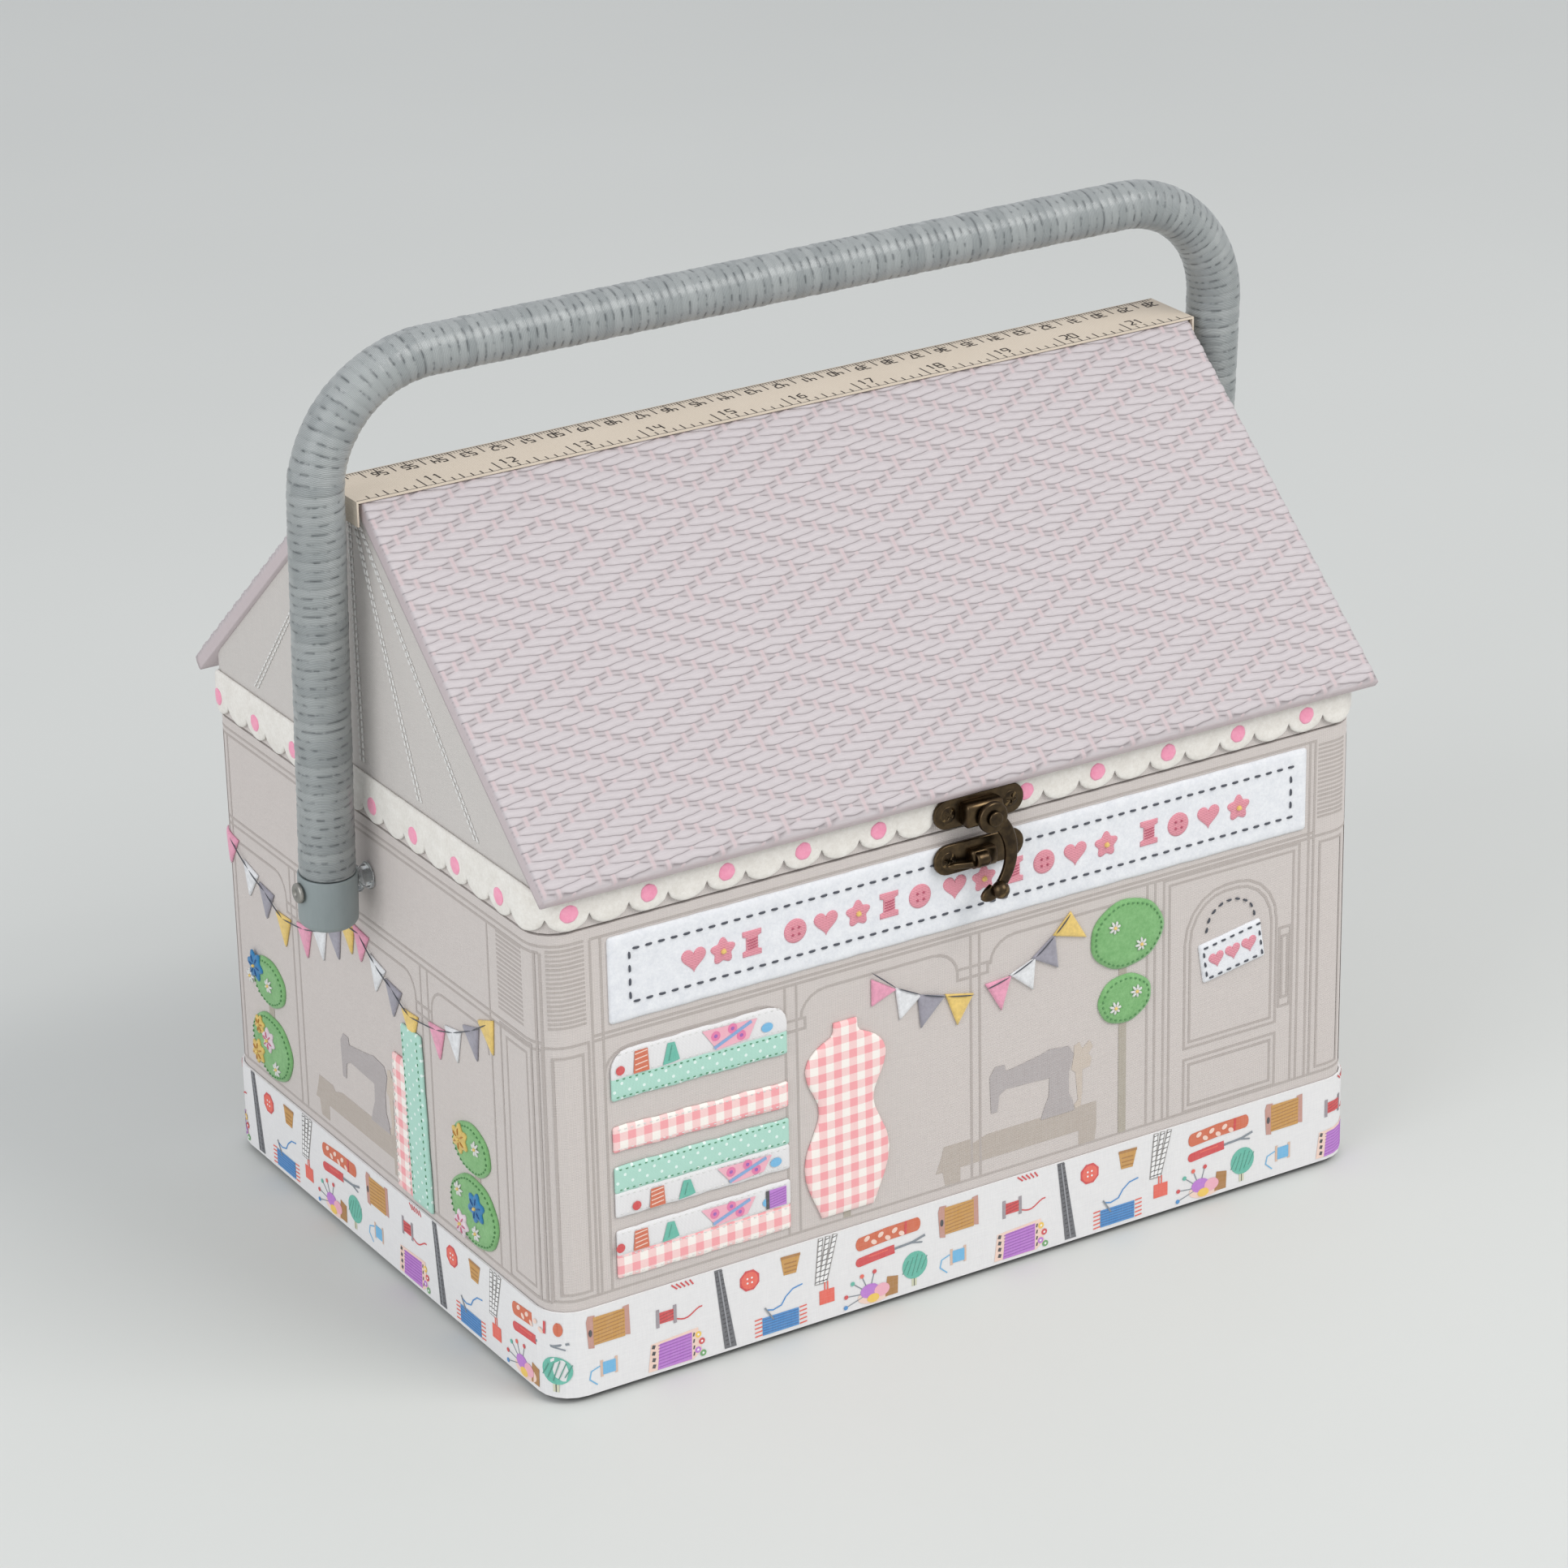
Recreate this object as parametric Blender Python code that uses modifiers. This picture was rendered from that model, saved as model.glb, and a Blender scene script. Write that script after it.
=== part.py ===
"""A house-shaped sewing box: a fabric-covered board box with a hinged gable-roof lid, a swing handle over
the roof, a hook clasp at the front and two lift-out trays inside. Metres, +Z up, front towards -Y, with the
origin on the underside at the middle of the box."""

import math

import bmesh
import bpy

# Body of the box
BODY_LENGTH = 0.295
BODY_DEPTH = 0.214
SEAM_HEIGHT = 0.153
CORNER_RADIUS = 0.010
BOARD = 0.004
BASE_THICKNESS = 0.003
BASE_INSET = 0.001
BAND_TOP = 0.030
BAND_BOTTOM = 0.0012
BAND_THICKNESS = 0.0007
FLOOR_PAD = 0.004
LINER = 0.005

# Lid
SEAM_GAP = 0.0008
RIM_HEIGHT = 0.0127
ROOF_SEAT = 0.0014
ROOF_RISE = 0.0906
ROOF_BOARD = 0.005
EAVE_OVERHANG = 0.0079
GABLE_OVERHANG = 0.0024
RIDGE_HALF = 0.0112
TAPE_THICKNESS = 0.0006
TAPE_FLAP = 0.007
LINING = 0.0015
TRIM_THICKNESS = 0.001
SCALLOPS = 76
SCALLOP_DEPTH = 0.0035
SCALLOP_START = 0.0062

# Trays and what they rest on
LEDGE_DROP = 0.035
LEDGE_WIDTH = 0.018
LEDGE_HEIGHT = 0.008
TRAY_SIDE_ROOM = 0.017
TRAY_HEIGHT = 0.028
TRAY_WALL = 0.0018
TRAY_LIP = 0.003
TRAY_GAP = 0.0016
TRAY_END_ROOM = 0.0065

# Handle
PIVOT_DROP = 0.0187
FINGER_ROOM = 0.0342
LEG_RADIUS = 0.00875
BAR_RADIUS = 0.0078
BEND_RADIUS = 0.038
SLEEVE_RADIUS = 0.0092
SLEEVE_ABOVE = 0.005
SLEEVE_BELOW = 0.0124
SPACER_LENGTH = 0.0044
SPACER_RADIUS = 0.0043
BOLT_RADIUS = 0.0019
BOLT_CLEARANCE = 0.0001
BOLT_HEAD = 0.0032
NUT_RADIUS = 0.0042
NUT_THICKNESS = 0.0032
HANDLE_LEAN = math.radians(3.2)

# Clasp, placed from the seam and the middle of the front
CLASP_X = 0.0025
PLATE_LENGTH = 0.0322
PLATE_HEIGHT = 0.0096
PLATE_THICKNESS = 0.0012
SCREW_SPACING = 0.0224
UPPER_PLATE_RISE = 0.0066
LOWER_PLATE_DROP = 0.0083
HOOK_THICKNESS = 0.002
HOOK_PIVOT_X = 0.003
HOOK_PIVOT_RISE = 0.0053
HOOK_ARC_RADIUS = 0.01545
HOOK_START, HOOK_END = math.radians(54.6), math.radians(-45.9)
HOOK_PIN = 0.0014

# Felt and cloth pieces sewn to the outside
FELT = 0.001
PATCH = 0.0008

GAP = 0.0003  # left between pieces that touch

HALF_LENGTH = BODY_LENGTH / 2
HALF_DEPTH = BODY_DEPTH / 2
INNER_LENGTH = HALF_LENGTH - BOARD
INNER_DEPTH = HALF_DEPTH - BOARD
INNER_RADIUS = CORNER_RADIUS - BOARD
RIM_BOTTOM = SEAM_HEIGHT + SEAM_GAP
RIM_TOP = RIM_BOTTOM + RIM_HEIGHT
ROOF_RUN = HALF_DEPTH + EAVE_OVERHANG - RIDGE_HALF
ROOF_PITCH = math.atan2(ROOF_RISE, ROOF_RUN)
EAVE_Z = RIM_TOP + ROOF_SEAT + ROOF_BOARD / math.cos(ROOF_PITCH) - EAVE_OVERHANG * math.tan(ROOF_PITCH)
RIDGE_Z = EAVE_Z + ROOF_RISE
ROOF_END = HALF_LENGTH + GABLE_OVERHANG
PIVOT_Z = SEAM_HEIGHT - PIVOT_DROP
HANDLE_X = HALF_LENGTH + SPACER_LENGTH + 2 * GAP + SLEEVE_RADIUS
HANDLE_REACH = (RIDGE_Z + FINGER_ROOM + BAR_RADIUS - PIVOT_Z) / math.cos(HANDLE_LEAN)
LEDGE_TOP = SEAM_HEIGHT - LEDGE_DROP
TRIM_FACE = HALF_DEPTH + GAP + TRIM_THICKNESS
PLATE_BACK = TRIM_FACE + GAP
PLATE_FACE = PLATE_BACK + PLATE_THICKNESS
HOOK_BACK = HALF_DEPTH + EAVE_OVERHANG + 0.0007
HOOK_FACE = HOOK_BACK + HOOK_THICKNESS
CLASP_REACH = HOOK_BACK - 0.0006  # how far the fixed pieces of the clasp stand out

FRONT = (math.pi / 2, 0, 0)  # local X, Y, Z become X, Z, -Y
END = (math.pi / 2, 0, math.pi / 2)  # local X, Y, Z become Y, Z, X


def clear_scene():
    for obj in list(bpy.data.objects):
        bpy.data.objects.remove(obj)


def collection(name):
    made = bpy.data.collections.new(name)
    bpy.context.scene.collection.children.link(made)
    return made


def material(name, colour, roughness=0.9, metallic=0.0):
    made = bpy.data.materials.new(name)
    made.use_nodes = True
    shader = made.node_tree.nodes["Principled BSDF"]
    shader.inputs["Base Color"].default_value = (*colour, 1)
    shader.inputs["Roughness"].default_value = roughness
    shader.inputs["Metallic"].default_value = metallic
    return made


clear_scene()
parts = collection("sewing_box")
cutters = collection("cutters")

canvas = material("canvas", (0.58, 0.53, 0.51))
print_cotton = material("print_cotton", (0.78, 0.76, 0.76))
straw = material("woven_straw", (0.58, 0.53, 0.54), 0.45)
gable_cloth = material("gable_cloth", (0.56, 0.54, 0.51))
felt = material("cream_felt", (0.76, 0.74, 0.70), 1.0)
sign_felt = material("sign_felt", (0.73, 0.75, 0.79), 1.0)
mint = material("mint_cotton", (0.38, 0.68, 0.55))
gingham = material("pink_gingham", (0.85, 0.50, 0.52))
green_felt = material("green_felt", (0.19, 0.49, 0.24), 1.0)
lining_cloth = material("lining_cloth", (0.80, 0.55, 0.57))
ribbon = material("tape_ribbon", (0.68, 0.55, 0.41))
dark_cloth = material("dark_base_cloth", (0.03, 0.03, 0.03))
ledge_board = material("ledge_board", (0.75, 0.72, 0.68))
tray_plastic = material("tray_plastic", (0.83, 0.82, 0.80), 0.35)
bronze = material("antique_bronze", (0.10, 0.07, 0.045), 0.35, 1.0)
wrap = material("wrap_strand", (0.30, 0.34, 0.35), 0.3)
sleeve_plastic = material("sleeve_plastic", (0.21, 0.25, 0.26), 0.4)
clear_plastic = material("clear_plastic", (0.85, 0.87, 0.88), 0.05)
steel = material("dull_steel", (0.35, 0.35, 0.34), 0.4, 1.0)


def place(name, mesh, finish, location=(0, 0, 0), rotation=(0, 0, 0), parent=None, cutter=False):
    """Make an object of a mesh, in the parts or, as a hidden wire shape, among the cutters."""
    obj = bpy.data.objects.new(name, mesh)
    (cutters if cutter else parts).objects.link(obj)
    if finish:
        mesh.materials.append(finish)
    obj.location = location
    obj.rotation_euler = rotation
    obj.parent = parent
    if cutter:
        obj.hide_render = True
        obj.display_type = "WIRE"
    return obj


def welded_mesh(obj):
    """The evaluated mesh of a curve with its caps joined to its sides; the curve itself is removed."""
    bpy.context.view_layer.update()
    mesh = bpy.data.meshes.new_from_object(obj.evaluated_get(bpy.context.evaluated_depsgraph_get()))
    bpy.data.objects.remove(obj)
    work = bmesh.new()
    work.from_mesh(mesh)
    bmesh.ops.remove_doubles(work, verts=work.verts, dist=1e-6)
    bmesh.ops.recalc_face_normals(work, faces=work.faces)
    work.to_mesh(mesh)
    work.free()
    mesh.materials.clear()
    return mesh


def plate_mesh(loops, thickness):
    """A flat plate in the XY plane: the first loop is its outline and any others are holes."""
    curve = bpy.data.curves.new("outline", "CURVE")
    curve.dimensions = "2D"
    curve.fill_mode = "BOTH"
    curve.extrude = thickness / 2
    for loop in loops:
        spline = curve.splines.new("POLY")
        spline.points.add(len(loop) - 1)
        for point, (x, y) in zip(spline.points, loop):
            point.co = (x, y, 0, 1)
        spline.use_cyclic_u = True
    obj = bpy.data.objects.new("outline", curve)
    parts.objects.link(obj)
    return welded_mesh(obj)


def box_mesh(length, depth, height):
    mesh = bpy.data.meshes.new("box")
    work = bmesh.new()
    bmesh.ops.create_cube(work, size=1)
    bmesh.ops.scale(work, vec=(length, depth, height), verts=work.verts)
    work.to_mesh(mesh)
    work.free()
    return mesh


def rod_mesh(radius, length, sides=16):
    """A cylinder along local Z, centred."""
    mesh = bpy.data.meshes.new("rod")
    work = bmesh.new()
    bmesh.ops.create_cone(
        work, cap_ends=True, segments=sides, radius1=radius, radius2=radius, depth=length
    )
    work.to_mesh(mesh)
    work.free()
    return mesh


def ball_mesh(radius):
    mesh = bpy.data.meshes.new("ball")
    work = bmesh.new()
    bmesh.ops.create_uvsphere(work, u_segments=16, v_segments=10, radius=radius)
    work.to_mesh(mesh)
    work.free()
    return mesh


def turned(name, profile, finish, location, rotation=(0, 0, 0), parent=None, steps=24):
    """A shape turned about local Z from (radius, height) points that run top to bottom on the outside."""
    mesh = bpy.data.meshes.new(name)
    work = bmesh.new()
    points = [work.verts.new((radius, 0, height)) for radius, height in profile]
    for first, second in zip(points, points[1:]):
        work.edges.new((first, second))
    if profile[0][0] > 0:
        work.edges.new((points[-1], points[0]))
    work.to_mesh(mesh)
    work.free()
    obj = place(name, mesh, finish, location, rotation, parent)
    screw = obj.modifiers.new("turn", "SCREW")
    screw.steps = screw.render_steps = steps
    screw.use_merge_vertices = True
    screw.merge_threshold = 1e-6
    return obj


def rounded(obj, width, segments=2):
    bevel = obj.modifiers.new("rounding", "BEVEL")
    bevel.width = width
    bevel.segments = segments
    bevel.limit_method = "ANGLE"
    bevel.angle_limit = math.radians(50)
    return obj


def boolean(obj, other, operation):
    change = obj.modifiers.new(other.name, "BOOLEAN")
    change.operation = operation
    change.object = other
    return obj


def cut(obj, mesh, location, rotation=(0, 0, 0), parent=None):
    cutter = place(f"{obj.name}_cutter", mesh, None, location, rotation, parent, cutter=True)
    return boolean(obj, cutter, "DIFFERENCE")


def join(obj, mesh, location, rotation=(0, 0, 0)):
    added = place(f"{obj.name}_addition", mesh, None, location, rotation, cutter=True)
    return boolean(obj, added, "UNION")


def arc(centre, radius, start, end, count):
    """Points on a circle from one angle to another, both ends included."""
    angles = [start + (end - start) * step / count for step in range(count + 1)]
    return [(centre[0] + radius * math.cos(a), centre[1] + radius * math.sin(a)) for a in angles]


def rounded_rectangle(half_x, half_y, radius, steps=5):
    points = []
    corners = ((1, 1), (-1, 1), (-1, -1), (1, -1))
    for quarter, (sx, sy) in enumerate(corners):
        centre = (sx * (half_x - radius), sy * (half_y - radius))
        start = quarter * math.pi / 2
        points += arc(centre, radius, start, start + math.pi / 2, steps)
    return points


def stadium(half_length, half_height, steps=8):
    middle = half_length - half_height
    right = arc((middle, 0), half_height, -math.pi / 2, math.pi / 2, steps)
    return right + arc((-middle, 0), half_height, math.pi / 2, 3 * math.pi / 2, steps)


def ellipse(half_x, half_y, count=28):
    turns = [2 * math.pi * step / count for step in range(count)]
    return [(half_x * math.cos(a), half_y * math.sin(a)) for a in turns]


# Body: base board, walls, print band and the padded boards inside

place(
    "base_board",
    plate_mesh(
        [rounded_rectangle(HALF_LENGTH - BASE_INSET, HALF_DEPTH - BASE_INSET, CORNER_RADIUS - BASE_INSET)],
        BASE_THICKNESS,
    ),
    dark_cloth,
    (0, 0, BASE_THICKNESS / 2),
)


def wall_ring(name, bottom, top, finish):
    """An upright wall with rounded corners, as thick as the board."""
    outside = rounded_rectangle(HALF_LENGTH, HALF_DEPTH, CORNER_RADIUS)
    inside = rounded_rectangle(INNER_LENGTH, INNER_DEPTH, INNER_RADIUS)
    return place(name, plate_mesh([outside, inside], top - bottom), finish, (0, 0, (top + bottom) / 2))


body_shell = wall_ring("body_shell", BASE_THICKNESS + GAP, SEAM_HEIGHT, canvas)
for side in (-1, 1):
    cut(
        body_shell,
        rod_mesh(BOLT_RADIUS + BOLT_CLEARANCE, 3 * BOARD),
        (side * (HALF_LENGTH - BOARD / 2), 0, PIVOT_Z),
        (0, math.pi / 2, 0),
    )



def around_body(gap):
    """The body's outline grown by a gap."""
    return rounded_rectangle(HALF_LENGTH + gap, HALF_DEPTH + gap, CORNER_RADIUS + gap)


place(
    "print_band",
    plate_mesh([around_body(GAP + BAND_THICKNESS), around_body(GAP)], BAND_TOP - BAND_BOTTOM),
    print_cotton,
    (0, 0, (BAND_TOP + BAND_BOTTOM) / 2),
)

floor_bottom = BASE_THICKNESS + GAP
place(
    "floor_pad",
    plate_mesh([rounded_rectangle(INNER_LENGTH - GAP, INNER_DEPTH - GAP, INNER_RADIUS)], FLOOR_PAD),
    lining_cloth,
    (0, 0, floor_bottom + FLOOR_PAD / 2),
)

liner_bottom = floor_bottom + FLOOR_PAD + GAP
liner_height = LEDGE_TOP - liner_bottom
liner_z = liner_bottom + liner_height / 2
liner_face_y = INNER_DEPTH - GAP - LINER
liner_face_x = INNER_LENGTH - GAP - LINER
for side, word in ((-1, "front"), (1, "back")):
    liner = place(
        f"liner_{word}",
        box_mesh(2 * (INNER_LENGTH - INNER_RADIUS - GAP), LINER, liner_height),
        lining_cloth,
        (0, side * (liner_face_y + LINER / 2), liner_z),
    )
    rounded(liner, 0.0012)
    place(
        f"ledge_{word}",
        box_mesh(2 * (liner_face_x - GAP), LEDGE_WIDTH, LEDGE_HEIGHT),
        ledge_board,
        (0, side * (liner_face_y - GAP - LEDGE_WIDTH / 2), LEDGE_TOP - LEDGE_HEIGHT / 2),
    )
for side, word in ((-1, "left"), (1, "right")):
    liner = place(
        f"liner_{word}",
        box_mesh(LINER, 2 * (INNER_DEPTH - INNER_RADIUS - GAP), liner_height),
        lining_cloth,
        (side * (liner_face_x + LINER / 2), 0, liner_z),
    )
    rounded(liner, 0.0012)

# Felt and cloth pieces on the front wall and the left end wall


def on_front(name, outline, thickness, finish, x, z):
    y = -(HALF_DEPTH + GAP + thickness / 2)
    return place(name, plate_mesh([outline], thickness), finish, (x, y, z), FRONT)


def on_left_end(name, outline, thickness, finish, y, z):
    x = -(HALF_LENGTH + GAP + thickness / 2)
    return place(name, plate_mesh([outline], thickness), finish, (x, y, z), END)


on_front("sign_panel", rounded_rectangle(0.126, 0.0139, 0.0015, 2), FELT, sign_felt, 0.0005, 0.1347)

FOLDED_X, FOLDED_HALF, ARCH_RADIUS = -0.0955, 0.030, 0.0065
folded_top = arc((FOLDED_HALF - ARCH_RADIUS, 0), ARCH_RADIUS, 0, math.pi / 2, 4)
folded_top += arc((ARCH_RADIUS - FOLDED_HALF, 0), ARCH_RADIUS, math.pi / 2, math.pi, 4)
folded_foot = [(-FOLDED_HALF, -0.0090), (FOLDED_HALF, -0.0090)]
on_front("folded_cloth_arched", folded_top + folded_foot, PATCH, mint, FOLDED_X, 0.1050)
for name, low, high, finish in (
    ("folded_cloth_gingham", 0.0775, 0.0855, gingham),
    ("folded_cloth_mint", 0.0573, 0.0733, mint),
    ("folded_cloth_print", 0.0372, 0.0527, gingham),
):
    half = (high - low) / 2
    on_front(name, rounded_rectangle(FOLDED_HALF, half, 0.0008, 1), PATCH, finish, FOLDED_X, low + half)


# Height above the hem and half-width of the dressmaker's form: hem, hip, waist, bust, shoulder and neck
FIGURE = (
    (0.0, 0.0093),
    (0.0185, 0.0151),
    (0.0375, 0.0096),
    (0.0505, 0.0144),
    (0.0570, 0.0112),
    (0.0598, 0.0043),
    (0.0645, 0.0040),
)
FIGURE_HEM = 0.0360


def figure_outline():
    """The form's outline, its half-width eased between one station and the next."""
    edge = []
    for (low, wide), (high, narrow) in zip(FIGURE, FIGURE[1:]):
        for share in (0, 0.25, 0.5, 0.75):
            ease = share * share * (3 - 2 * share)
            edge.append((wide + (narrow - wide) * ease, low + (high - low) * share))
    edge.append((FIGURE[-1][1], FIGURE[-1][0]))
    return edge + [(-x, y) for x, y in reversed(edge)]


on_front("dress_form", figure_outline(), PATCH, gingham, -0.0448, FIGURE_HEM)

for name, x, z, half_x, half_z in (
    ("shrub_upper", 0.0585, 0.1022, 0.0135, 0.0112),
    ("shrub_lower", 0.0575, 0.0802, 0.0098, 0.0082),
):
    on_front(name, ellipse(half_x, half_z), FELT, green_felt, x, z)
for name, side, inset, z, half_y, half_z in (
    ("end_shrub_back_upper", 1, 0.0295, 0.0680, 0.0110, 0.0082),
    ("end_shrub_back_lower", 1, 0.0305, 0.0448, 0.0137, 0.0112),
    ("end_shrub_front_upper", -1, 0.0475, 0.0660, 0.0115, 0.0082),
    ("end_shrub_front_lower", -1, 0.0470, 0.0450, 0.0148, 0.0115),
):
    outline = ellipse(half_y, half_z, 24)
    on_left_end(name, outline, FELT, green_felt, side * (HALF_DEPTH - inset), z)

door_sign = on_front(
    "door_sign", rounded_rectangle(0.0120, 0.0068, 0.0006, 1), FELT, sign_felt, 0.0988, 0.0858
)
door_sign.rotation_euler = (math.pi / 2, math.radians(-9), 0)

# Lid: rim, gables, roof boards, ridge strip and tape, felt trim and what lines it

wall_ring("lid_rim", RIM_BOTTOM, RIM_TOP, felt)

gable_foot = HALF_DEPTH - 0.3 * CORNER_RADIUS
gable_top = RIDGE_Z - 0.0052


def under_roof(y):
    """Height of the roof boards' underside over a point that far from the middle."""
    rise = (HALF_DEPTH + EAVE_OVERHANG - y) * math.tan(ROOF_PITCH)
    return EAVE_Z + rise - ROOF_BOARD / math.cos(ROOF_PITCH)


shoulder_z = under_roof(gable_foot) - GAP
top_half = gable_foot - (gable_top - shoulder_z) / math.tan(ROOF_PITCH)
gable_outline = [
    (-gable_foot, RIM_TOP + GAP),
    (gable_foot, RIM_TOP + GAP),
    (gable_foot, shoulder_z),
    (top_half, gable_top),
    (-top_half, gable_top),
    (-gable_foot, shoulder_z),
]
rounded_block = place(
    "rounded_block",
    plate_mesh([rounded_rectangle(HALF_LENGTH, HALF_DEPTH, CORNER_RADIUS)], 2 * ROOF_RISE),
    None,
    (0, 0, RIM_TOP + ROOF_RISE / 2),
    cutter=True,
)
for side, word in ((-1, "left"), (1, "right")):
    gable = place(
        f"gable_{word}",
        plate_mesh([gable_outline], BOARD + GAP),
        gable_cloth,
        (side * (HALF_LENGTH - BOARD / 2 + GAP / 2), 0, 0),
        END,
    )
    boolean(gable, rounded_block, "INTERSECT")

SLOPE = math.hypot(ROOF_RUN, ROOF_RISE)


def on_slope(along, depth, side):
    """A point that far up the slope from the eave's outer edge, and that deep below the roof's face."""
    inwards = along * math.cos(ROOF_PITCH) + depth * math.sin(ROOF_PITCH)
    height = EAVE_Z + along * math.sin(ROOF_PITCH) - depth * math.cos(ROOF_PITCH)
    return (0, side * (HALF_DEPTH + EAVE_OVERHANG - inwards), height)


lining_depth = ROOF_BOARD + GAP + LINING / 2
cushion_depth = ROOF_BOARD + 2 * GAP + LINING
lining_start = 0.0122
lining_end = SLOPE - 0.0038
for side, word in ((-1, "front"), (1, "back")):
    tilt = (-side * ROOF_PITCH, 0, 0)
    board = place(
        f"roof_{word}",
        box_mesh(2 * ROOF_END, SLOPE, ROOF_BOARD),
        straw,
        on_slope(SLOPE / 2, ROOF_BOARD / 2, side),
        tilt,
    )
    rounded(board, 0.0018, 3)
    place(
        f"lid_lining_{word}",
        box_mesh(2 * (INNER_LENGTH - GAP), lining_end - lining_start, LINING),
        lining_cloth,
        on_slope((lining_start + lining_end) / 2, lining_depth, side),
        tilt,
    )

CUSHION_LENGTH, CUSHION_WIDTH, CUSHION_THICKNESS = 0.120, 0.050, 0.012
cushion = place(
    "pincushion",
    box_mesh(CUSHION_LENGTH, CUSHION_WIDTH, CUSHION_THICKNESS),
    lining_cloth,
    on_slope(SLOPE - 0.043, cushion_depth + CUSHION_THICKNESS / 2, 1),
    (-ROOF_PITCH, 0, 0),
)
rounded(cushion, 0.004, 3)


def beside_ridge(drop):
    """Half the width left between the roof boards' top ends at a depth below the ridge."""
    return RIDGE_HALF - drop * math.tan(ROOF_PITCH) - 1.4 * GAP / math.cos(ROOF_PITCH)


STRIP_TOP, STRIP_BOTTOM = 0.0008, 0.0046
place(
    "ridge_strip",
    plate_mesh(
        [[
            (-beside_ridge(STRIP_BOTTOM), RIDGE_Z - STRIP_BOTTOM),
            (beside_ridge(STRIP_BOTTOM), RIDGE_Z - STRIP_BOTTOM),
            (beside_ridge(STRIP_TOP), RIDGE_Z - STRIP_TOP),
            (-beside_ridge(STRIP_TOP), RIDGE_Z - STRIP_TOP),
        ]],
        2 * ROOF_END - 2 * GAP,
    ),
    ledge_board,
    (0, 0, 0),
    END,
)

tape_low = RIDGE_Z + GAP
tape_top = tape_low + TAPE_THICKNESS
tape_in = ROOF_END + GAP
tape_out = tape_in + TAPE_THICKNESS
flap_z = RIDGE_Z - TAPE_FLAP
place(
    "ridge_tape",
    plate_mesh(
        [[
            (-tape_out, flap_z),
            (-tape_in, flap_z),
            (-tape_in, tape_low),
            (tape_in, tape_low),
            (tape_in, flap_z),
            (tape_out, flap_z),
            (tape_out, tape_top),
            (-tape_out, tape_top),
        ]],
        2 * (RIDGE_HALF + 0.0006),
    ),
    ribbon,
    (0, 0, 0),
    FRONT,
)


def trim_height(x, y):
    """Top edge of the felt trim: under the eaves at front and back, higher across the ends."""
    share = min(1.0, max(0.0, (HALF_DEPTH - 0.001 - abs(y)) / 0.008))
    return RIM_TOP - 0.0006 + 0.0028 * share * share * (3 - 2 * share)


def scalloped_trim():
    """A strip of felt round the lid's rim: straight above, a row of half-round scallops below."""
    half_x, half_y, radius = HALF_LENGTH + GAP, HALF_DEPTH + GAP, CORNER_RADIUS + GAP
    straight_x, straight_y = 2 * (half_x - radius), 2 * (half_y - radius)
    quarter = radius * math.pi / 2
    runs = (straight_x, quarter, straight_y, quarter) * 2
    steps = 5
    count = SCALLOPS * steps
    work = bmesh.new()
    ring = bmesh.ops.create_circle(work, segments=count, radius=1)["verts"]
    lower = sorted(ring, key=lambda vert: math.atan2(vert.co.y, vert.co.x) % (2 * math.pi))
    for number, vert in enumerate(lower):
        way = (number / count * sum(runs) + SCALLOP_START) % sum(runs)
        piece = 0
        while way > runs[piece] and piece < len(runs) - 1:
            way -= runs[piece]
            piece += 1
        turn = math.pi / 2 * ((piece + 1) // 2)
        along = (math.cos(turn), math.sin(turn))
        across = (math.sin(turn), -math.cos(turn))
        half_run = (half_x, half_y)[(piece // 2) % 2]
        half_off = (half_y, half_x)[(piece // 2) % 2]
        if piece % 2 == 0:
            a, b = way - (half_run - radius), half_off
        else:
            angle = way / radius
            a = half_run - radius + radius * math.sin(angle)
            b = half_off - radius + radius * math.cos(angle)
            along = (math.cos(turn - math.pi / 2), math.sin(turn - math.pi / 2))
            across = (math.sin(turn - math.pi / 2), -math.cos(turn - math.pi / 2))
        vert.co.x = along[0] * a + across[0] * b
        vert.co.y = along[1] * a + across[1] * b
        arch = math.sin(math.pi * (number % steps) / steps)
        vert.co.z = RIM_BOTTOM + 0.0004 + SCALLOP_DEPTH * (1 - math.sqrt(max(0.0, arch)))
    edges = bmesh.ops.extrude_edge_only(work, edges=work.edges[:])["geom"]
    for vert in (item for item in edges if isinstance(item, bmesh.types.BMVert)):
        vert.co.z = trim_height(vert.co.x, vert.co.y)
    bmesh.ops.recalc_face_normals(work, faces=work.faces)
    mesh = bpy.data.meshes.new("trim")
    work.to_mesh(mesh)
    work.free()
    return mesh


trim = place("scalloped_trim", scalloped_trim(), felt)
thicken = trim.modifiers.new("felt", "SOLIDIFY")
thicken.thickness = TRIM_THICKNESS
thicken.offset = 1
thicken.use_even_offset = True

# Cloth hinge inside the back edge, one leaf glued to the wall and one to the lid

HINGE_END_ROOM, HINGE_CLOTH = 0.0235, 0.0006
for name, low, high in (
    ("hinge_cloth_body", SEAM_HEIGHT - 0.016, SEAM_HEIGHT - 0.0005),
    ("hinge_cloth_lid", RIM_BOTTOM + 0.0005, RIM_TOP - 0.001),
):
    place(
        name,
        box_mesh(2 * (INNER_LENGTH - HINGE_END_ROOM), HINGE_CLOTH, high - low),
        lining_cloth,
        (0, INNER_DEPTH - GAP - HINGE_CLOTH / 2, (low + high) / 2),
    )

# Trays: each a tub with a lip round its top and a cross of dividers dropped into it

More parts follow.
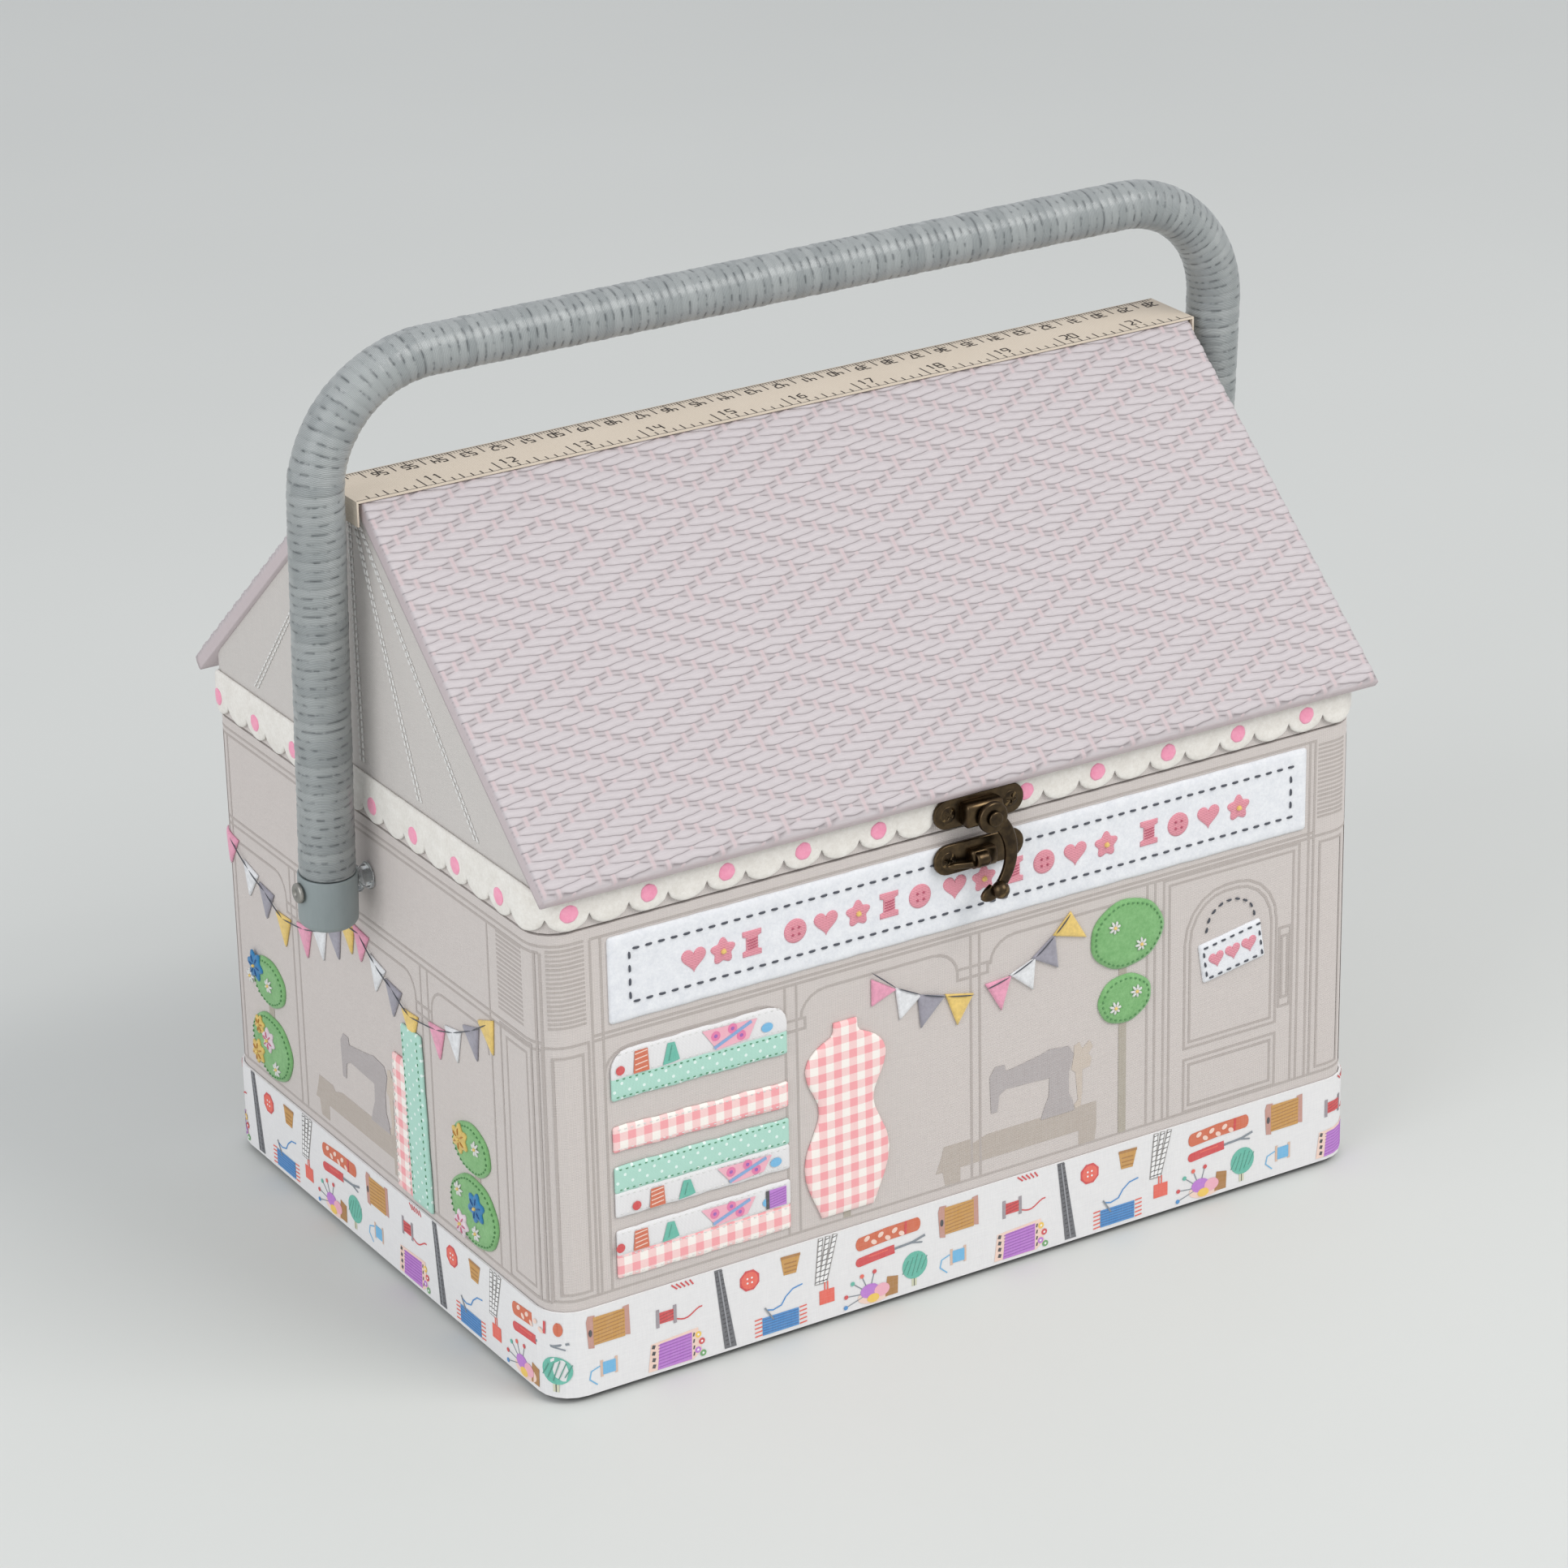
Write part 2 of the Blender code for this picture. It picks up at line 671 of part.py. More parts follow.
tray_x_in = TRAY_GAP / 2
tray_x_out = INNER_LENGTH - TRAY_END_ROOM
tray_half = (tray_x_out - tray_x_in) / 2
tray_bottom = LEDGE_TOP + GAP
tub_half_x = tray_half - TRAY_LIP
lip_half_y = INNER_DEPTH - TRAY_SIDE_ROOM
tub_half_y = lip_half_y - TRAY_LIP
for side, word in ((-1, "left"), (1, "right")):
    centre_x = side * (tray_x_in + tray_half)
    outside = rounded_rectangle(tub_half_x, tub_half_y, 0.006, 3)
    inside = rounded_rectangle(tub_half_x - TRAY_WALL, tub_half_y - TRAY_WALL, 0.0045, 3)
    lip = rounded_rectangle(tray_half, lip_half_y, 0.008, 3)
    tub = place(
        f"tray_{word}",
        plate_mesh([outside], TRAY_HEIGHT),
        tray_plastic,
        (centre_x, 0, tray_bottom + TRAY_HEIGHT / 2),
    )
    join(tub, plate_mesh([lip], TRAY_WALL), (centre_x, 0, tray_bottom + TRAY_HEIGHT - TRAY_WALL / 2))
    cut(tub, plate_mesh([inside], TRAY_HEIGHT), (centre_x, 0, tray_bottom + TRAY_WALL + TRAY_HEIGHT / 2))
    wide = 2 * (tub_half_x - TRAY_WALL - GAP)
    deep = 2 * (tub_half_y - TRAY_WALL - GAP)
    tall = TRAY_HEIGHT - TRAY_WALL - GAP - 0.003
    level = tray_bottom + TRAY_WALL + GAP + tall / 2
    shift = 0.022 if side < 0 else -0.018
    divider = place(
        f"tray_{word}_divider",
        box_mesh(wide, TRAY_WALL, tall),
        tray_plastic,
        (centre_x, shift, level),
    )
    if side < 0:
        arm = deep / 2 - shift
        join(divider, box_mesh(TRAY_WALL, arm, tall), (centre_x, deep / 2 - arm / 2, level))
    else:
        arm = deep / 2 + shift
        for offset in (-wide / 6, wide / 6):
            join(divider, box_mesh(TRAY_WALL, arm, tall), (centre_x + offset, -deep / 2 + arm / 2, level))

# Swing handle: a wrapped bow in two plastic sleeves, on bolts through the end walls

handle_frame = bpy.data.objects.new("handle_frame", None)
parts.objects.link(handle_frame)
handle_frame.location = (0, 0, PIVOT_Z)
handle_frame.rotation_euler = (HANDLE_LEAN, 0, 0)


def handle_bow():
    """The bow's centre line, up one leg, over and down the other, slimmer along the top."""
    start = SLEEVE_ABOVE + GAP
    bend_z = HANDLE_REACH - BEND_RADIUS
    bend_x = HANDLE_X - BEND_RADIUS
    left = [(-HANDLE_X, start), (-HANDLE_X, (start + bend_z) / 2)]
    left += arc((-bend_x, bend_z), BEND_RADIUS, math.pi, math.pi / 2, 10)
    middle = [(-bend_x * share, HANDLE_REACH) for share in (0.5, 0.0)]
    half = left + middle
    line = half + [(-x, z) for x, z in reversed(half[:-1])]
    curve = bpy.data.curves.new("bow", "CURVE")
    curve.dimensions = "3D"
    curve.bevel_depth = LEG_RADIUS
    curve.bevel_resolution = 6
    curve.use_fill_caps = True
    spline = curve.splines.new("POLY")
    spline.points.add(len(line) - 1)
    for point, (x, z) in zip(spline.points, line):
        point.co = (x, 0, z, 1)
        share = min(1.0, max(0.0, (z - bend_z) / BEND_RADIUS))
        point.radius = 1 + (BAR_RADIUS / LEG_RADIUS - 1) * share
    obj = bpy.data.objects.new("bow", curve)
    parts.objects.link(obj)
    mesh = welded_mesh(obj)
    mesh.shade_smooth()
    return mesh


place("handle_bow", handle_bow(), wrap, parent=handle_frame)

bolt_head_z = HANDLE_X + SLEEVE_RADIUS + GAP
bolt_end_z = INNER_LENGTH - 0.0042
for side, word in ((-1, "left"), (1, "right")):
    outwards = (0, side * math.pi / 2, 0)
    sleeve = turned(
        f"handle_sleeve_{word}",
        [(0, SLEEVE_ABOVE), (SLEEVE_RADIUS - 0.0005, SLEEVE_ABOVE), (SLEEVE_RADIUS, SLEEVE_ABOVE - 0.0005)]
        + [(SLEEVE_RADIUS - 0.0025 + x, -SLEEVE_BELOW + 0.0025 + y)
           for x, y in arc((0, 0), 0.0025, 0, -math.pi / 2, 3)]
        + [(0, -SLEEVE_BELOW)],
        sleeve_plastic,
        (side * HANDLE_X, 0, 0),
        parent=handle_frame,
    )
    cut(
        sleeve,
        rod_mesh(BOLT_RADIUS + BOLT_CLEARANCE, 3 * SLEEVE_RADIUS),
        (side * HANDLE_X, 0, 0),
        (0, math.pi / 2, 0),
        handle_frame,
    )
    turned(
        f"handle_bolt_{word}",
        [
            (0, bolt_head_z + 0.0015),
            (0.0018, bolt_head_z + 0.0013),
            (BOLT_HEAD, bolt_head_z + 0.0006),
            (BOLT_HEAD, bolt_head_z),
            (BOLT_RADIUS, bolt_head_z),
            (BOLT_RADIUS, bolt_end_z),
            (0, bolt_end_z),
        ],
        steel,
        (0, 0, PIVOT_Z),
        outwards,
        steps=16,
    )
    hole = BOLT_RADIUS + BOLT_CLEARANCE
    spacer_in = HALF_LENGTH + GAP
    spacer_out = spacer_in + SPACER_LENGTH
    turned(
        f"handle_spacer_{word}",
        [
            (hole, spacer_out),
            (SPACER_RADIUS - 0.0004, spacer_out),
            (SPACER_RADIUS, spacer_out - 0.0006),
            (SPACER_RADIUS - 0.0011, (spacer_in + spacer_out) / 2),
            (SPACER_RADIUS, spacer_in + 0.0006),
            (SPACER_RADIUS - 0.0004, spacer_in),
            (hole, spacer_in),
        ],
        clear_plastic,
        (0, 0, PIVOT_Z),
        outwards,
        steps=16,
    )
    nut_out = INNER_LENGTH - GAP
    place(
        f"handle_nut_{word}",
        plate_mesh([ellipse(NUT_RADIUS, NUT_RADIUS, 6), ellipse(hole, hole, 16)], NUT_THICKNESS),
        steel,
        (side * (nut_out - NUT_THICKNESS / 2), 0, PIVOT_Z),
        END,
    )

# Clasp: an upper plate on the lid that carries the hook, and a lower plate on the body with a ball stud

upper_z = SEAM_HEIGHT + UPPER_PLATE_RISE
lower_z = SEAM_HEIGHT - LOWER_PLATE_DROP
pivot_z = SEAM_HEIGHT + HOOK_PIVOT_RISE
plate_y = -(PLATE_BACK + PLATE_THICKNESS / 2)
screw_hole = 0.0014


def forwards(back, face):
    """Middle of a piece that stands between these two distances in front of the box's middle."""
    return -(back + face) / 2


def screwed_plate(height):
    """A flat plate with round ends and a screw hole near each."""
    hole = ellipse(screw_hole, screw_hole, 16)
    holes = [[(x + side * SCREW_SPACING / 2, y) for x, y in hole] for side in (-1, 1)]
    return plate_mesh([stadium(PLATE_LENGTH / 2, height / 2), *holes], PLATE_THICKNESS)


upper_plate = place(
    "clasp_plate_upper",
    screwed_plate(PLATE_HEIGHT),
    bronze,
    (CLASP_X, plate_y, upper_z),
    FRONT,
)
join(
    upper_plate,
    box_mesh(0.0130, CLASP_REACH - PLATE_FACE + 0.0005, 0.0078),
    (CLASP_X - 0.0005, forwards(PLATE_FACE - 0.0005, CLASP_REACH), upper_z - 0.0006),
)
pin_depth = 0.0030
cut(
    upper_plate,
    rod_mesh(HOOK_PIN + GAP, 2 * pin_depth),
    (HOOK_PIVOT_X, -CLASP_REACH, pivot_z),
    FRONT,
)

lower_plate = place(
    "clasp_plate_lower",
    screwed_plate(PLATE_HEIGHT + 0.0004),
    bronze,
    (CLASP_X, plate_y, lower_z),
    FRONT,
)

STUD_X, STUD_RISE, STUD_BALL, STUD_PIN = 0.0052, -0.0009, 0.0026, 0.0010
stud_y = -(CLASP_REACH - STUD_BALL)
LUG_X = 0.0002
join(
    lower_plate,
    box_mesh(0.0040, CLASP_REACH - PLATE_FACE - 0.0005, 0.0062),
    (LUG_X, forwards(PLATE_FACE - 0.0005, CLASP_REACH - 0.0010), lower_z + STUD_RISE),
)
join(
    lower_plate,
    box_mesh(0.0100, 0.0023, 0.0026),
    (CLASP_X + 0.0015, forwards(PLATE_FACE - 0.0003, PLATE_FACE + 0.0020), lower_z + 0.0030),
)
cut(
    lower_plate,
    rod_mesh(STUD_PIN + GAP, 0.0080, 12),
    (LUG_X, stud_y, lower_z + STUD_RISE),
    (0, math.pi / 2, 0),
)
stud = place("clasp_stud", ball_mesh(STUD_BALL), bronze, (STUD_X, stud_y, lower_z + STUD_RISE))
PIN_END = -0.0059
join(
    stud,
    rod_mesh(STUD_PIN, STUD_X - PIN_END, 12),
    ((STUD_X + PIN_END) / 2, stud_y, lower_z + STUD_RISE),
    (0, math.pi / 2, 0),
)

for plate_word, height in (("upper", upper_z), ("lower", lower_z)):
    for side, word in ((-1, "left"), (1, "right")):
        turned(
            f"clasp_screw_{plate_word}_{word}",
            [
                (0, 0.0010),
                (0.0014, 0.0008),
                (0.0024, 0.0003),
                (0.0024, 0),
                (screw_hole - GAP, 0),
                (screw_hole - GAP, -PLATE_THICKNESS),
                (0, -PLATE_THICKNESS),
            ],
            bronze,
            (CLASP_X + side * SCREW_SPACING / 2, -(PLATE_FACE + 0.00015), height),
            FRONT,
            steps=14,
        )


def hook_arm():
    """The hook's curved arm as a flat band along an arc, narrower towards its toe."""
    centre = (-HOOK_ARC_RADIUS * math.cos(HOOK_START), -HOOK_ARC_RADIUS * math.sin(HOOK_START))
    outer, inner = [], []
    steps = 14
    for step in range(steps + 1):
        angle = HOOK_START + (HOOK_END - HOOK_START) * step / steps
        half = 0.0024 - 0.0006 * step / steps
        outer += [(centre[0] + (HOOK_ARC_RADIUS + half) * math.cos(angle),
                   centre[1] + (HOOK_ARC_RADIUS + half) * math.sin(angle))]
        inner += [(centre[0] + (HOOK_ARC_RADIUS - half) * math.cos(angle),
                   centre[1] + (HOOK_ARC_RADIUS - half) * math.sin(angle))]
    return outer + inner[::-1]


hook_frame = (HOOK_PIVOT_X, -(HOOK_BACK + HOOK_THICKNESS / 2), pivot_z)
hook = place("clasp_hook", plate_mesh([hook_arm()], HOOK_THICKNESS), bronze, hook_frame, FRONT)
join(hook, rod_mesh(0.0050, HOOK_THICKNESS, 24), hook_frame, FRONT)
toe_x = HOOK_PIVOT_X + HOOK_ARC_RADIUS * (math.cos(HOOK_END) - math.cos(HOOK_START))
toe_z = pivot_z + HOOK_ARC_RADIUS * (math.sin(HOOK_END) - math.sin(HOOK_START))
join(
    hook,
    plate_mesh([stadium(0.0058, 0.0030)], HOOK_THICKNESS * 0.98),
    (toe_x - 0.0024, hook_frame[1], toe_z + 0.0003),
    FRONT,
)
join(hook, ball_mesh(0.0028), (toe_x, -(HOOK_FACE + 0.0004), toe_z))
cut(hook, rod_mesh(HOOK_PIN + BOLT_CLEARANCE, 3 * HOOK_THICKNESS), hook_frame, FRONT)

turned(
    "hook_pivot",
    [
        (0, HOOK_FACE + 0.0014),
        (0.0016, HOOK_FACE + 0.0012),
        (0.0025, HOOK_FACE + GAP + 0.0003),
        (0.0025, HOOK_FACE + GAP),
        (HOOK_PIN, HOOK_FACE + GAP),
        (HOOK_PIN, CLASP_REACH - pin_depth + GAP),
        (0, CLASP_REACH - pin_depth + GAP),
    ],
    bronze,
    (HOOK_PIVOT_X, 0, pivot_z),
    FRONT,
    steps=16,
)

for obj in parts.objects:
    if obj.type == "MESH":
        obj.data.set_sharp_from_angle(angle=math.radians(35))
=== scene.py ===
"""A house-shaped sewing box: cloth-covered board walls sewn and printed as a shop front, a woven roof that
opens as the lid, a wrapped swing handle, a bronze hook clasp, and a padded inside with two lift-out trays.
Metres, +Z up, front towards -Y. Outlines drawn on the walls are in millimetres, as way round and height."""

import math

import bmesh
import bpy
import numpy as np
from mathutils import Matrix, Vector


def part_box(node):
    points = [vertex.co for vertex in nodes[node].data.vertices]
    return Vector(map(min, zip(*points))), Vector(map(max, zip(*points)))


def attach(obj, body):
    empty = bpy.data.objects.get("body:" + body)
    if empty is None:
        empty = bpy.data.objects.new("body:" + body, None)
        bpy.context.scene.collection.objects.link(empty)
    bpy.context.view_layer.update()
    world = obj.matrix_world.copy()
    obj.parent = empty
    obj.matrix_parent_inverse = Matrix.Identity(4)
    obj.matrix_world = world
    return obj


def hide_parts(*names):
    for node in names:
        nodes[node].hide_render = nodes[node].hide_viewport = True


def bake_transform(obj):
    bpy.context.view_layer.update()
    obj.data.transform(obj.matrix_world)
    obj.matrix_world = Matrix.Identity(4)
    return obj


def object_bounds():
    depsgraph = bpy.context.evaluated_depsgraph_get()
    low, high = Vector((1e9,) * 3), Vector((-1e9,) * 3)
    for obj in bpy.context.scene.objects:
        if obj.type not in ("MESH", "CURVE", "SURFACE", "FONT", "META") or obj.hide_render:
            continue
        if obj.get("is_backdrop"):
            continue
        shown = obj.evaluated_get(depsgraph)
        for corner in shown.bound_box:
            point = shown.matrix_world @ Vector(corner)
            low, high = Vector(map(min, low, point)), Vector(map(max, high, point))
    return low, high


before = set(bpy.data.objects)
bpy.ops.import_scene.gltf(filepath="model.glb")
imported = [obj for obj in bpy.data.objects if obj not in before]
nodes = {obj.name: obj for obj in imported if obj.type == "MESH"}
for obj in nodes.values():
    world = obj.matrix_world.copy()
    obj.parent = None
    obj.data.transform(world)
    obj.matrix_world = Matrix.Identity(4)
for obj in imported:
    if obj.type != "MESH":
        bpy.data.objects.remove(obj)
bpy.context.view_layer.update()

# The camera: a long lens, a little above the roof and round to the left, so that the front and the left end
# both show.

camera_data = bpy.data.cameras.new("camera")
camera_data.lens = 119.91
camera_data.sensor_width = 36
camera_data.clip_end = 50
camera = bpy.data.objects.new("camera", camera_data)
bpy.context.scene.collection.objects.link(camera)
camera.matrix_world = (
    Matrix.Translation((-0.79110, -1.30616, 0.78546))
    @ Matrix.Rotation(math.radians(-31.225), 4, "Z")
    @ Matrix.Rotation(math.radians(90 - 23.277), 4, "X")
    @ Matrix.Rotation(math.radians(-1.2125), 4, "Z")
)
bpy.context.scene.camera = camera

# The light: a pale room, one broad soft lamp high on the right of the front and a weaker one at the left.

scene = bpy.context.scene
scene.view_settings.view_transform = "Standard"
scene.world = bpy.data.worlds.new("room")
scene.world.use_nodes = True
room_light = scene.world.node_tree.nodes["Background"]
room_light.inputs["Color"].default_value = (0.95, 0.965, 1.0, 1)
room_light.inputs["Strength"].default_value = 0.7


def soft_lamp(name, place, aim, width, power, colour):
    """A square lamp at one point, turned towards another."""
    data = bpy.data.lights.new(name, "AREA")
    data.shape = "RECTANGLE"
    data.size = data.size_y = width
    data.energy = power
    data.color = colour
    lamp = bpy.data.objects.new(name, data)
    scene.collection.objects.link(lamp)
    away = Matrix.Translation(place).translation - Matrix.Translation(aim).translation
    lamp.matrix_world = Matrix.Translation(place) @ away.to_track_quat("Z", "Y").to_matrix().to_4x4()


soft_lamp("window", (0.9, -1.5, 1.9), (0, 0, 0.1), 1.3, 30, (1.0, 0.985, 0.96))
soft_lamp("wall_bounce", (-2.0, -0.6, 1.1), (0, 0, 0.12), 1.6, 18, (0.97, 0.985, 1.0))

# The floor: a wide, plain, pale board with a faint satin, so that the box casts only a soft shadow.


def tint(red, green, blue):
    """A colour given in the 0 to 255 steps of a paint chart, as the shader's linear values."""
    steps = np.array([red, green, blue]) / 255
    linear = np.where(steps <= 0.04045, steps / 12.92, ((steps + 0.055) / 1.055) ** 2.4)
    return (*linear.tolist(), 1.0)


class Wire:
    """A number socket that takes Python arithmetic: every operator adds its Math node."""

    def __init__(self, finish, socket):
        self.finish, self.socket = finish, socket

    def maths(self, operation, *values):
        return self.finish.add("ShaderNodeMath", {"operation": operation}, dict(enumerate(values)))

    def __add__(self, other):
        return self.maths("ADD", self, other)

    def __sub__(self, other):
        return self.maths("SUBTRACT", self, other)

    def __rsub__(self, other):
        return self.maths("SUBTRACT", other, self)

    def __mul__(self, other):
        return self.maths("MULTIPLY", self, other)

    def __truediv__(self, other):
        return self.maths("DIVIDE", self, other)

    def __pow__(self, other):
        return self.maths("POWER", self, other)

    def __lt__(self, other):
        return self.maths("LESS_THAN", self, other)

    __radd__, __rmul__ = __add__, __mul__

    def wave(self):
        """A smooth wave between 0 and 1, one turn for each whole number."""
        return self.maths("SINE", self * math.tau) * 0.5 + 0.5

    def part(self):
        return self.maths("FRACT", self)

    def whole(self):
        return self.maths("FLOOR", self)

    def size(self):
        return self.maths("ABSOLUTE", self)

    def over(self, other):
        return self.maths("MAXIMUM", self, other)

    def under(self, other):
        return self.maths("MINIMUM", self, other)


class Finish:
    """A material round one Principled shader, with constants set on its own sockets."""

    def __init__(self, name, **settings):
        self.material = bpy.data.materials.new(name)
        self.material.use_nodes = True
        self.tree = self.material.node_tree
        self.shader = self.tree.nodes["Principled BSDF"]
        for key, value in settings.items():
            self.feed(self.shader.inputs[key.replace("_", " ")], value)

    def feed(self, socket, value):
        if isinstance(value, Wire):
            self.tree.links.new(value.socket, socket)
        else:
            socket.default_value = value

    def add(self, kind, settings=None, sockets=None, output=0):
        """A node of that type: its settings first, then its sockets' values or links; gives one output."""
        node = self.tree.nodes.new(kind)
        for key, value in (settings or {}).items():
            setattr(node, key, value)
        for key, value in (sockets or {}).items():
            self.feed(node.inputs[key], value)
        return Wire(self, node.outputs[output])

    def place(self):
        """The Object coordinates, whole and as x, y and z."""
        whole = self.add("ShaderNodeTexCoord", output="Object")
        return whole, *(self.add("ShaderNodeSeparateXYZ", None, {0: whole}, axis) for axis in range(3))

    def carried(self, name, output="Fac"):
        """A value or colour that the mesh itself carries."""
        return self.add("ShaderNodeAttribute", {"attribute_name": name}, None, output)

    def noise(self, where, scale, detail=2.0, rough=0.5):
        sockets = {"Vector": where, "Scale": scale, "Detail": detail, "Roughness": rough}
        return self.add("ShaderNodeTexNoise", None, sockets)

    def stretch(self, where, amounts, turn=(0, 0, 0)):
        return self.add("ShaderNodeMapping", None, {"Vector": where, "Scale": amounts, "Rotation": turn})

    def mix(self, share, first, second, way="MIX"):
        """Two colours mixed by a share from 0 to 1."""
        settings = {"data_type": "RGBA", "blend_type": way}
        return self.add("ShaderNodeMix", settings, {0: share, 6: first, 7: second}, 2)

    def colour(self, wire):
        self.feed(self.shader.inputs["Base Color"], wire)

    def rough(self, wire):
        self.feed(self.shader.inputs["Roughness"], wire)

    def raise_by(self, height, depth, strength=1.0):
        """Relief of that depth in metres where height runs from 0 to 1."""
        sockets = {"Height": height, "Distance": depth, "Strength": strength}
        self.feed(self.shader.inputs["Normal"], self.add("ShaderNodeBump", None, sockets, "Normal"))


def dress(names, finish):
    """Give CAD nodes or new pieces this finish as their only material."""
    for name in names:
        obj = nodes.get(name) or bpy.data.objects[name]
        obj.data.materials.clear()
        obj.data.materials.append(finish.material)


def shown(name, mesh, finish):
    """A new object of that mesh, in that finish."""
    mesh.materials.append(finish.material)
    obj = bpy.data.objects.new(name, mesh)
    scene.collection.objects.link(obj)
    return obj


def piece(name, points, faces, finish):
    """A mesh object in place, from arrays of points and faces."""
    mesh = bpy.data.meshes.new(name)
    mesh.from_pydata(np.asarray(points).tolist(), [], [list(face) for face in faces])
    mesh.shade_smooth()
    return shown(name, mesh, finish)


def fitted(obj, body, replaces=()):
    """Tie a finished piece to its body and the plain nodes that it stands for."""
    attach(obj, body)
    if replaces:
        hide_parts(*replaces)
    return obj


def closed(obj):
    """Join the points that meet, turn every face outwards and shade the mesh smooth."""
    work = bmesh.new()
    work.from_mesh(obj.data)
    bmesh.ops.remove_doubles(work, verts=work.verts, dist=1e-6)
    bmesh.ops.recalc_face_normals(work, faces=work.faces)
    work.to_mesh(obj.data)
    work.free()
    obj.data.shade_smooth()
    return obj


def tube(rows, count, ring=False):
    """The faces between neighbouring rows, each a loop of that many points; ring joins the last row to the
    first one."""
    row, spot = np.meshgrid(np.arange(rows if ring else rows - 1), np.arange(count), indexing="ij")
    below, after = (row + 1) % rows, (spot + 1) % count
    corners = [row * count + spot, row * count + after, below * count + after, below * count + spot]
    return np.stack(corners, -1).reshape(-1, 4).tolist()


def capped(rows, count):
    """A tube's faces with one face more over each end."""
    last = (rows - 1) * count
    return tube(rows, count) + [list(range(count))[::-1], list(range(last, last + count))]


def carry(obj, **values):
    """Numbers that the mesh carries, one to a point."""
    for name, numbers in values.items():
        held = obj.data.attributes.new(name, "FLOAT", "POINT")
        held.data.foreach_set("value", np.asarray(numbers, np.float32).ravel())


def chart(obj, name, places):
    """A flat chart of the mesh, from one place to a point."""
    corner = np.empty(len(obj.data.loops), np.int32)
    obj.data.loops.foreach_get("vertex_index", corner)
    layer = obj.data.uv_layers.new(name=name)
    layer.data.foreach_set("uv", places[corner].astype(np.float32).ravel())


def points_of(mesh):
    """The mesh's points as rows of x, y and z."""
    held = np.empty(len(mesh.vertices) * 3)
    mesh.vertices.foreach_get("co", held)
    return held.reshape(-1, 3)


def move_points(mesh, points):
    mesh.vertices.foreach_set("co", np.asarray(points).ravel())


FLOOR_HALF, FLOOR_DROP = 4.0, 0.001  # its half side, and how far it lies below the board
FLOOR_CORNERS = ((-1, -1), (1, -1), (1, 1), (-1, 1))
floor_finish = Finish("pale_board", Roughness=0.55, Specular_IOR_Level=0.35)
floor_place, *_ = floor_finish.place()
floor_grain = floor_finish.noise(floor_place, 3.0, 3.0)
floor_finish.colour(floor_finish.mix(floor_grain, tint(207, 209, 206), tint(213, 215, 212)))
floor = piece("floor", [(x * FLOOR_HALF, y * FLOOR_HALF, -FLOOR_DROP) for x, y in FLOOR_CORNERS], [(0, 1, 2, 3)],
              floor_finish)
floor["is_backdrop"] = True

# The base: a board with rounded corners wrapped in black cloth, glued under the walls.

cloth_black = Finish("black_base_cloth", Roughness=0.9)
black_place, black_x, black_y, _ = cloth_black.place()
cloth_black.colour(cloth_black.mix(cloth_black.noise(black_place, 400), tint(22, 22, 22), tint(48, 46, 46)))
cloth_black.raise_by((black_x * 1600).wave() * (black_y * 1600).wave(), 0.00015)
dress(["base_board"], cloth_black)

# The walls: board covered in a fine grey canvas, plain woven, glued flat and turned in at the top edge.

CANVAS = tint(214, 206, 201)
CANVAS_DARK = tint(196, 188, 184)
THREADS = 1900.0  # canvas threads to a metre


def canvas_weave(finish, along, up, where, threads=THREADS):
    """Plain weave: warp and weft cross over and under in turn, with a slow unevenness along each thread."""
    slub = finish.noise(finish.stretch(where, (220, 220, 2600)), 1.0, 2.0)
    slub_across = finish.noise(finish.stretch(where, (2600, 2600, 220)), 1.0, 2.0)
    warp = (along * threads + slub * 0.5).wave()
    weft = (up * threads + slub_across * 0.5).wave()
    return warp * 0.5 + weft * 0.5, slub * 0.5 + slub_across * 0.5


def canvas_finish(name, first, second, threads=THREADS, depth=0.00012):
    made = Finish(name, Roughness=0.92, Specular_IOR_Level=0.25)
    made.shader.inputs["Sheen Weight"].default_value = 0.12
    made.shader.inputs["Sheen Roughness"].default_value = 0.6
    where, x, y, z = made.place()
    weave, slub = canvas_weave(made, x - y, z, where, threads)
    shade = weave * 0.45 + slub * 0.9 - 0.2
    made.colour(made.mix(shade, second, first))
    made.raise_by(weave + slub * 0.8, depth, 0.8)
    return made


canvas = canvas_finish("grey_canvas", CANVAS, CANVAS_DARK)
dress(["body_shell"], canvas)

# The print round the walls: ink on the canvas, in thin lines and flat shapes. Its outlines lie flat as way
# round and height, and are then wrapped round the corners.

MM = 0.001
body_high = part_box("body_shell")[1]
CORNER = 0.010
WALL_X, WALL_Y = body_high.x, body_high.y
FRONT_RUN, END_RUN = WALL_X - CORNER, 2 * (WALL_Y - CORNER)
QUARTER = CORNER * math.pi / 2
ROUND = 4 * FRONT_RUN + 2 * END_RUN + 4 * QUARTER


def around(way, lift):
    """A point on the wall: way runs round the body from the middle of the front, to the right as positive;
    lift stands off the wall. The path runs straight, turns a quarter circle, and so on; it gives x and y."""
    way = (np.asarray(way, float) + ROUND / 2) % ROUND - ROUND / 2
    side, far = np.where(way < 0, -1.0, 1.0), np.abs(way)
    front = np.minimum(far, FRONT_RUN)
    first = np.clip(far - FRONT_RUN, 0, QUARTER) / CORNER
    end = np.clip(far - FRONT_RUN - QUARTER, 0, END_RUN)
    second = np.clip(far - FRONT_RUN - QUARTER - END_RUN, 0, QUARTER) / CORNER
    back = np.maximum(far - FRONT_RUN - 2 * QUARTER - END_RUN, 0)
    turn = first + second
    x = front + CORNER * np.sin(first) - CORNER * (1 - np.cos(second)) - back + lift * np.sin(turn)
    y = -WALL_Y + CORNER * (1 - np.cos(first)) + end + CORNER * np.sin(second) - lift * np.cos(turn)
    return side * x, y


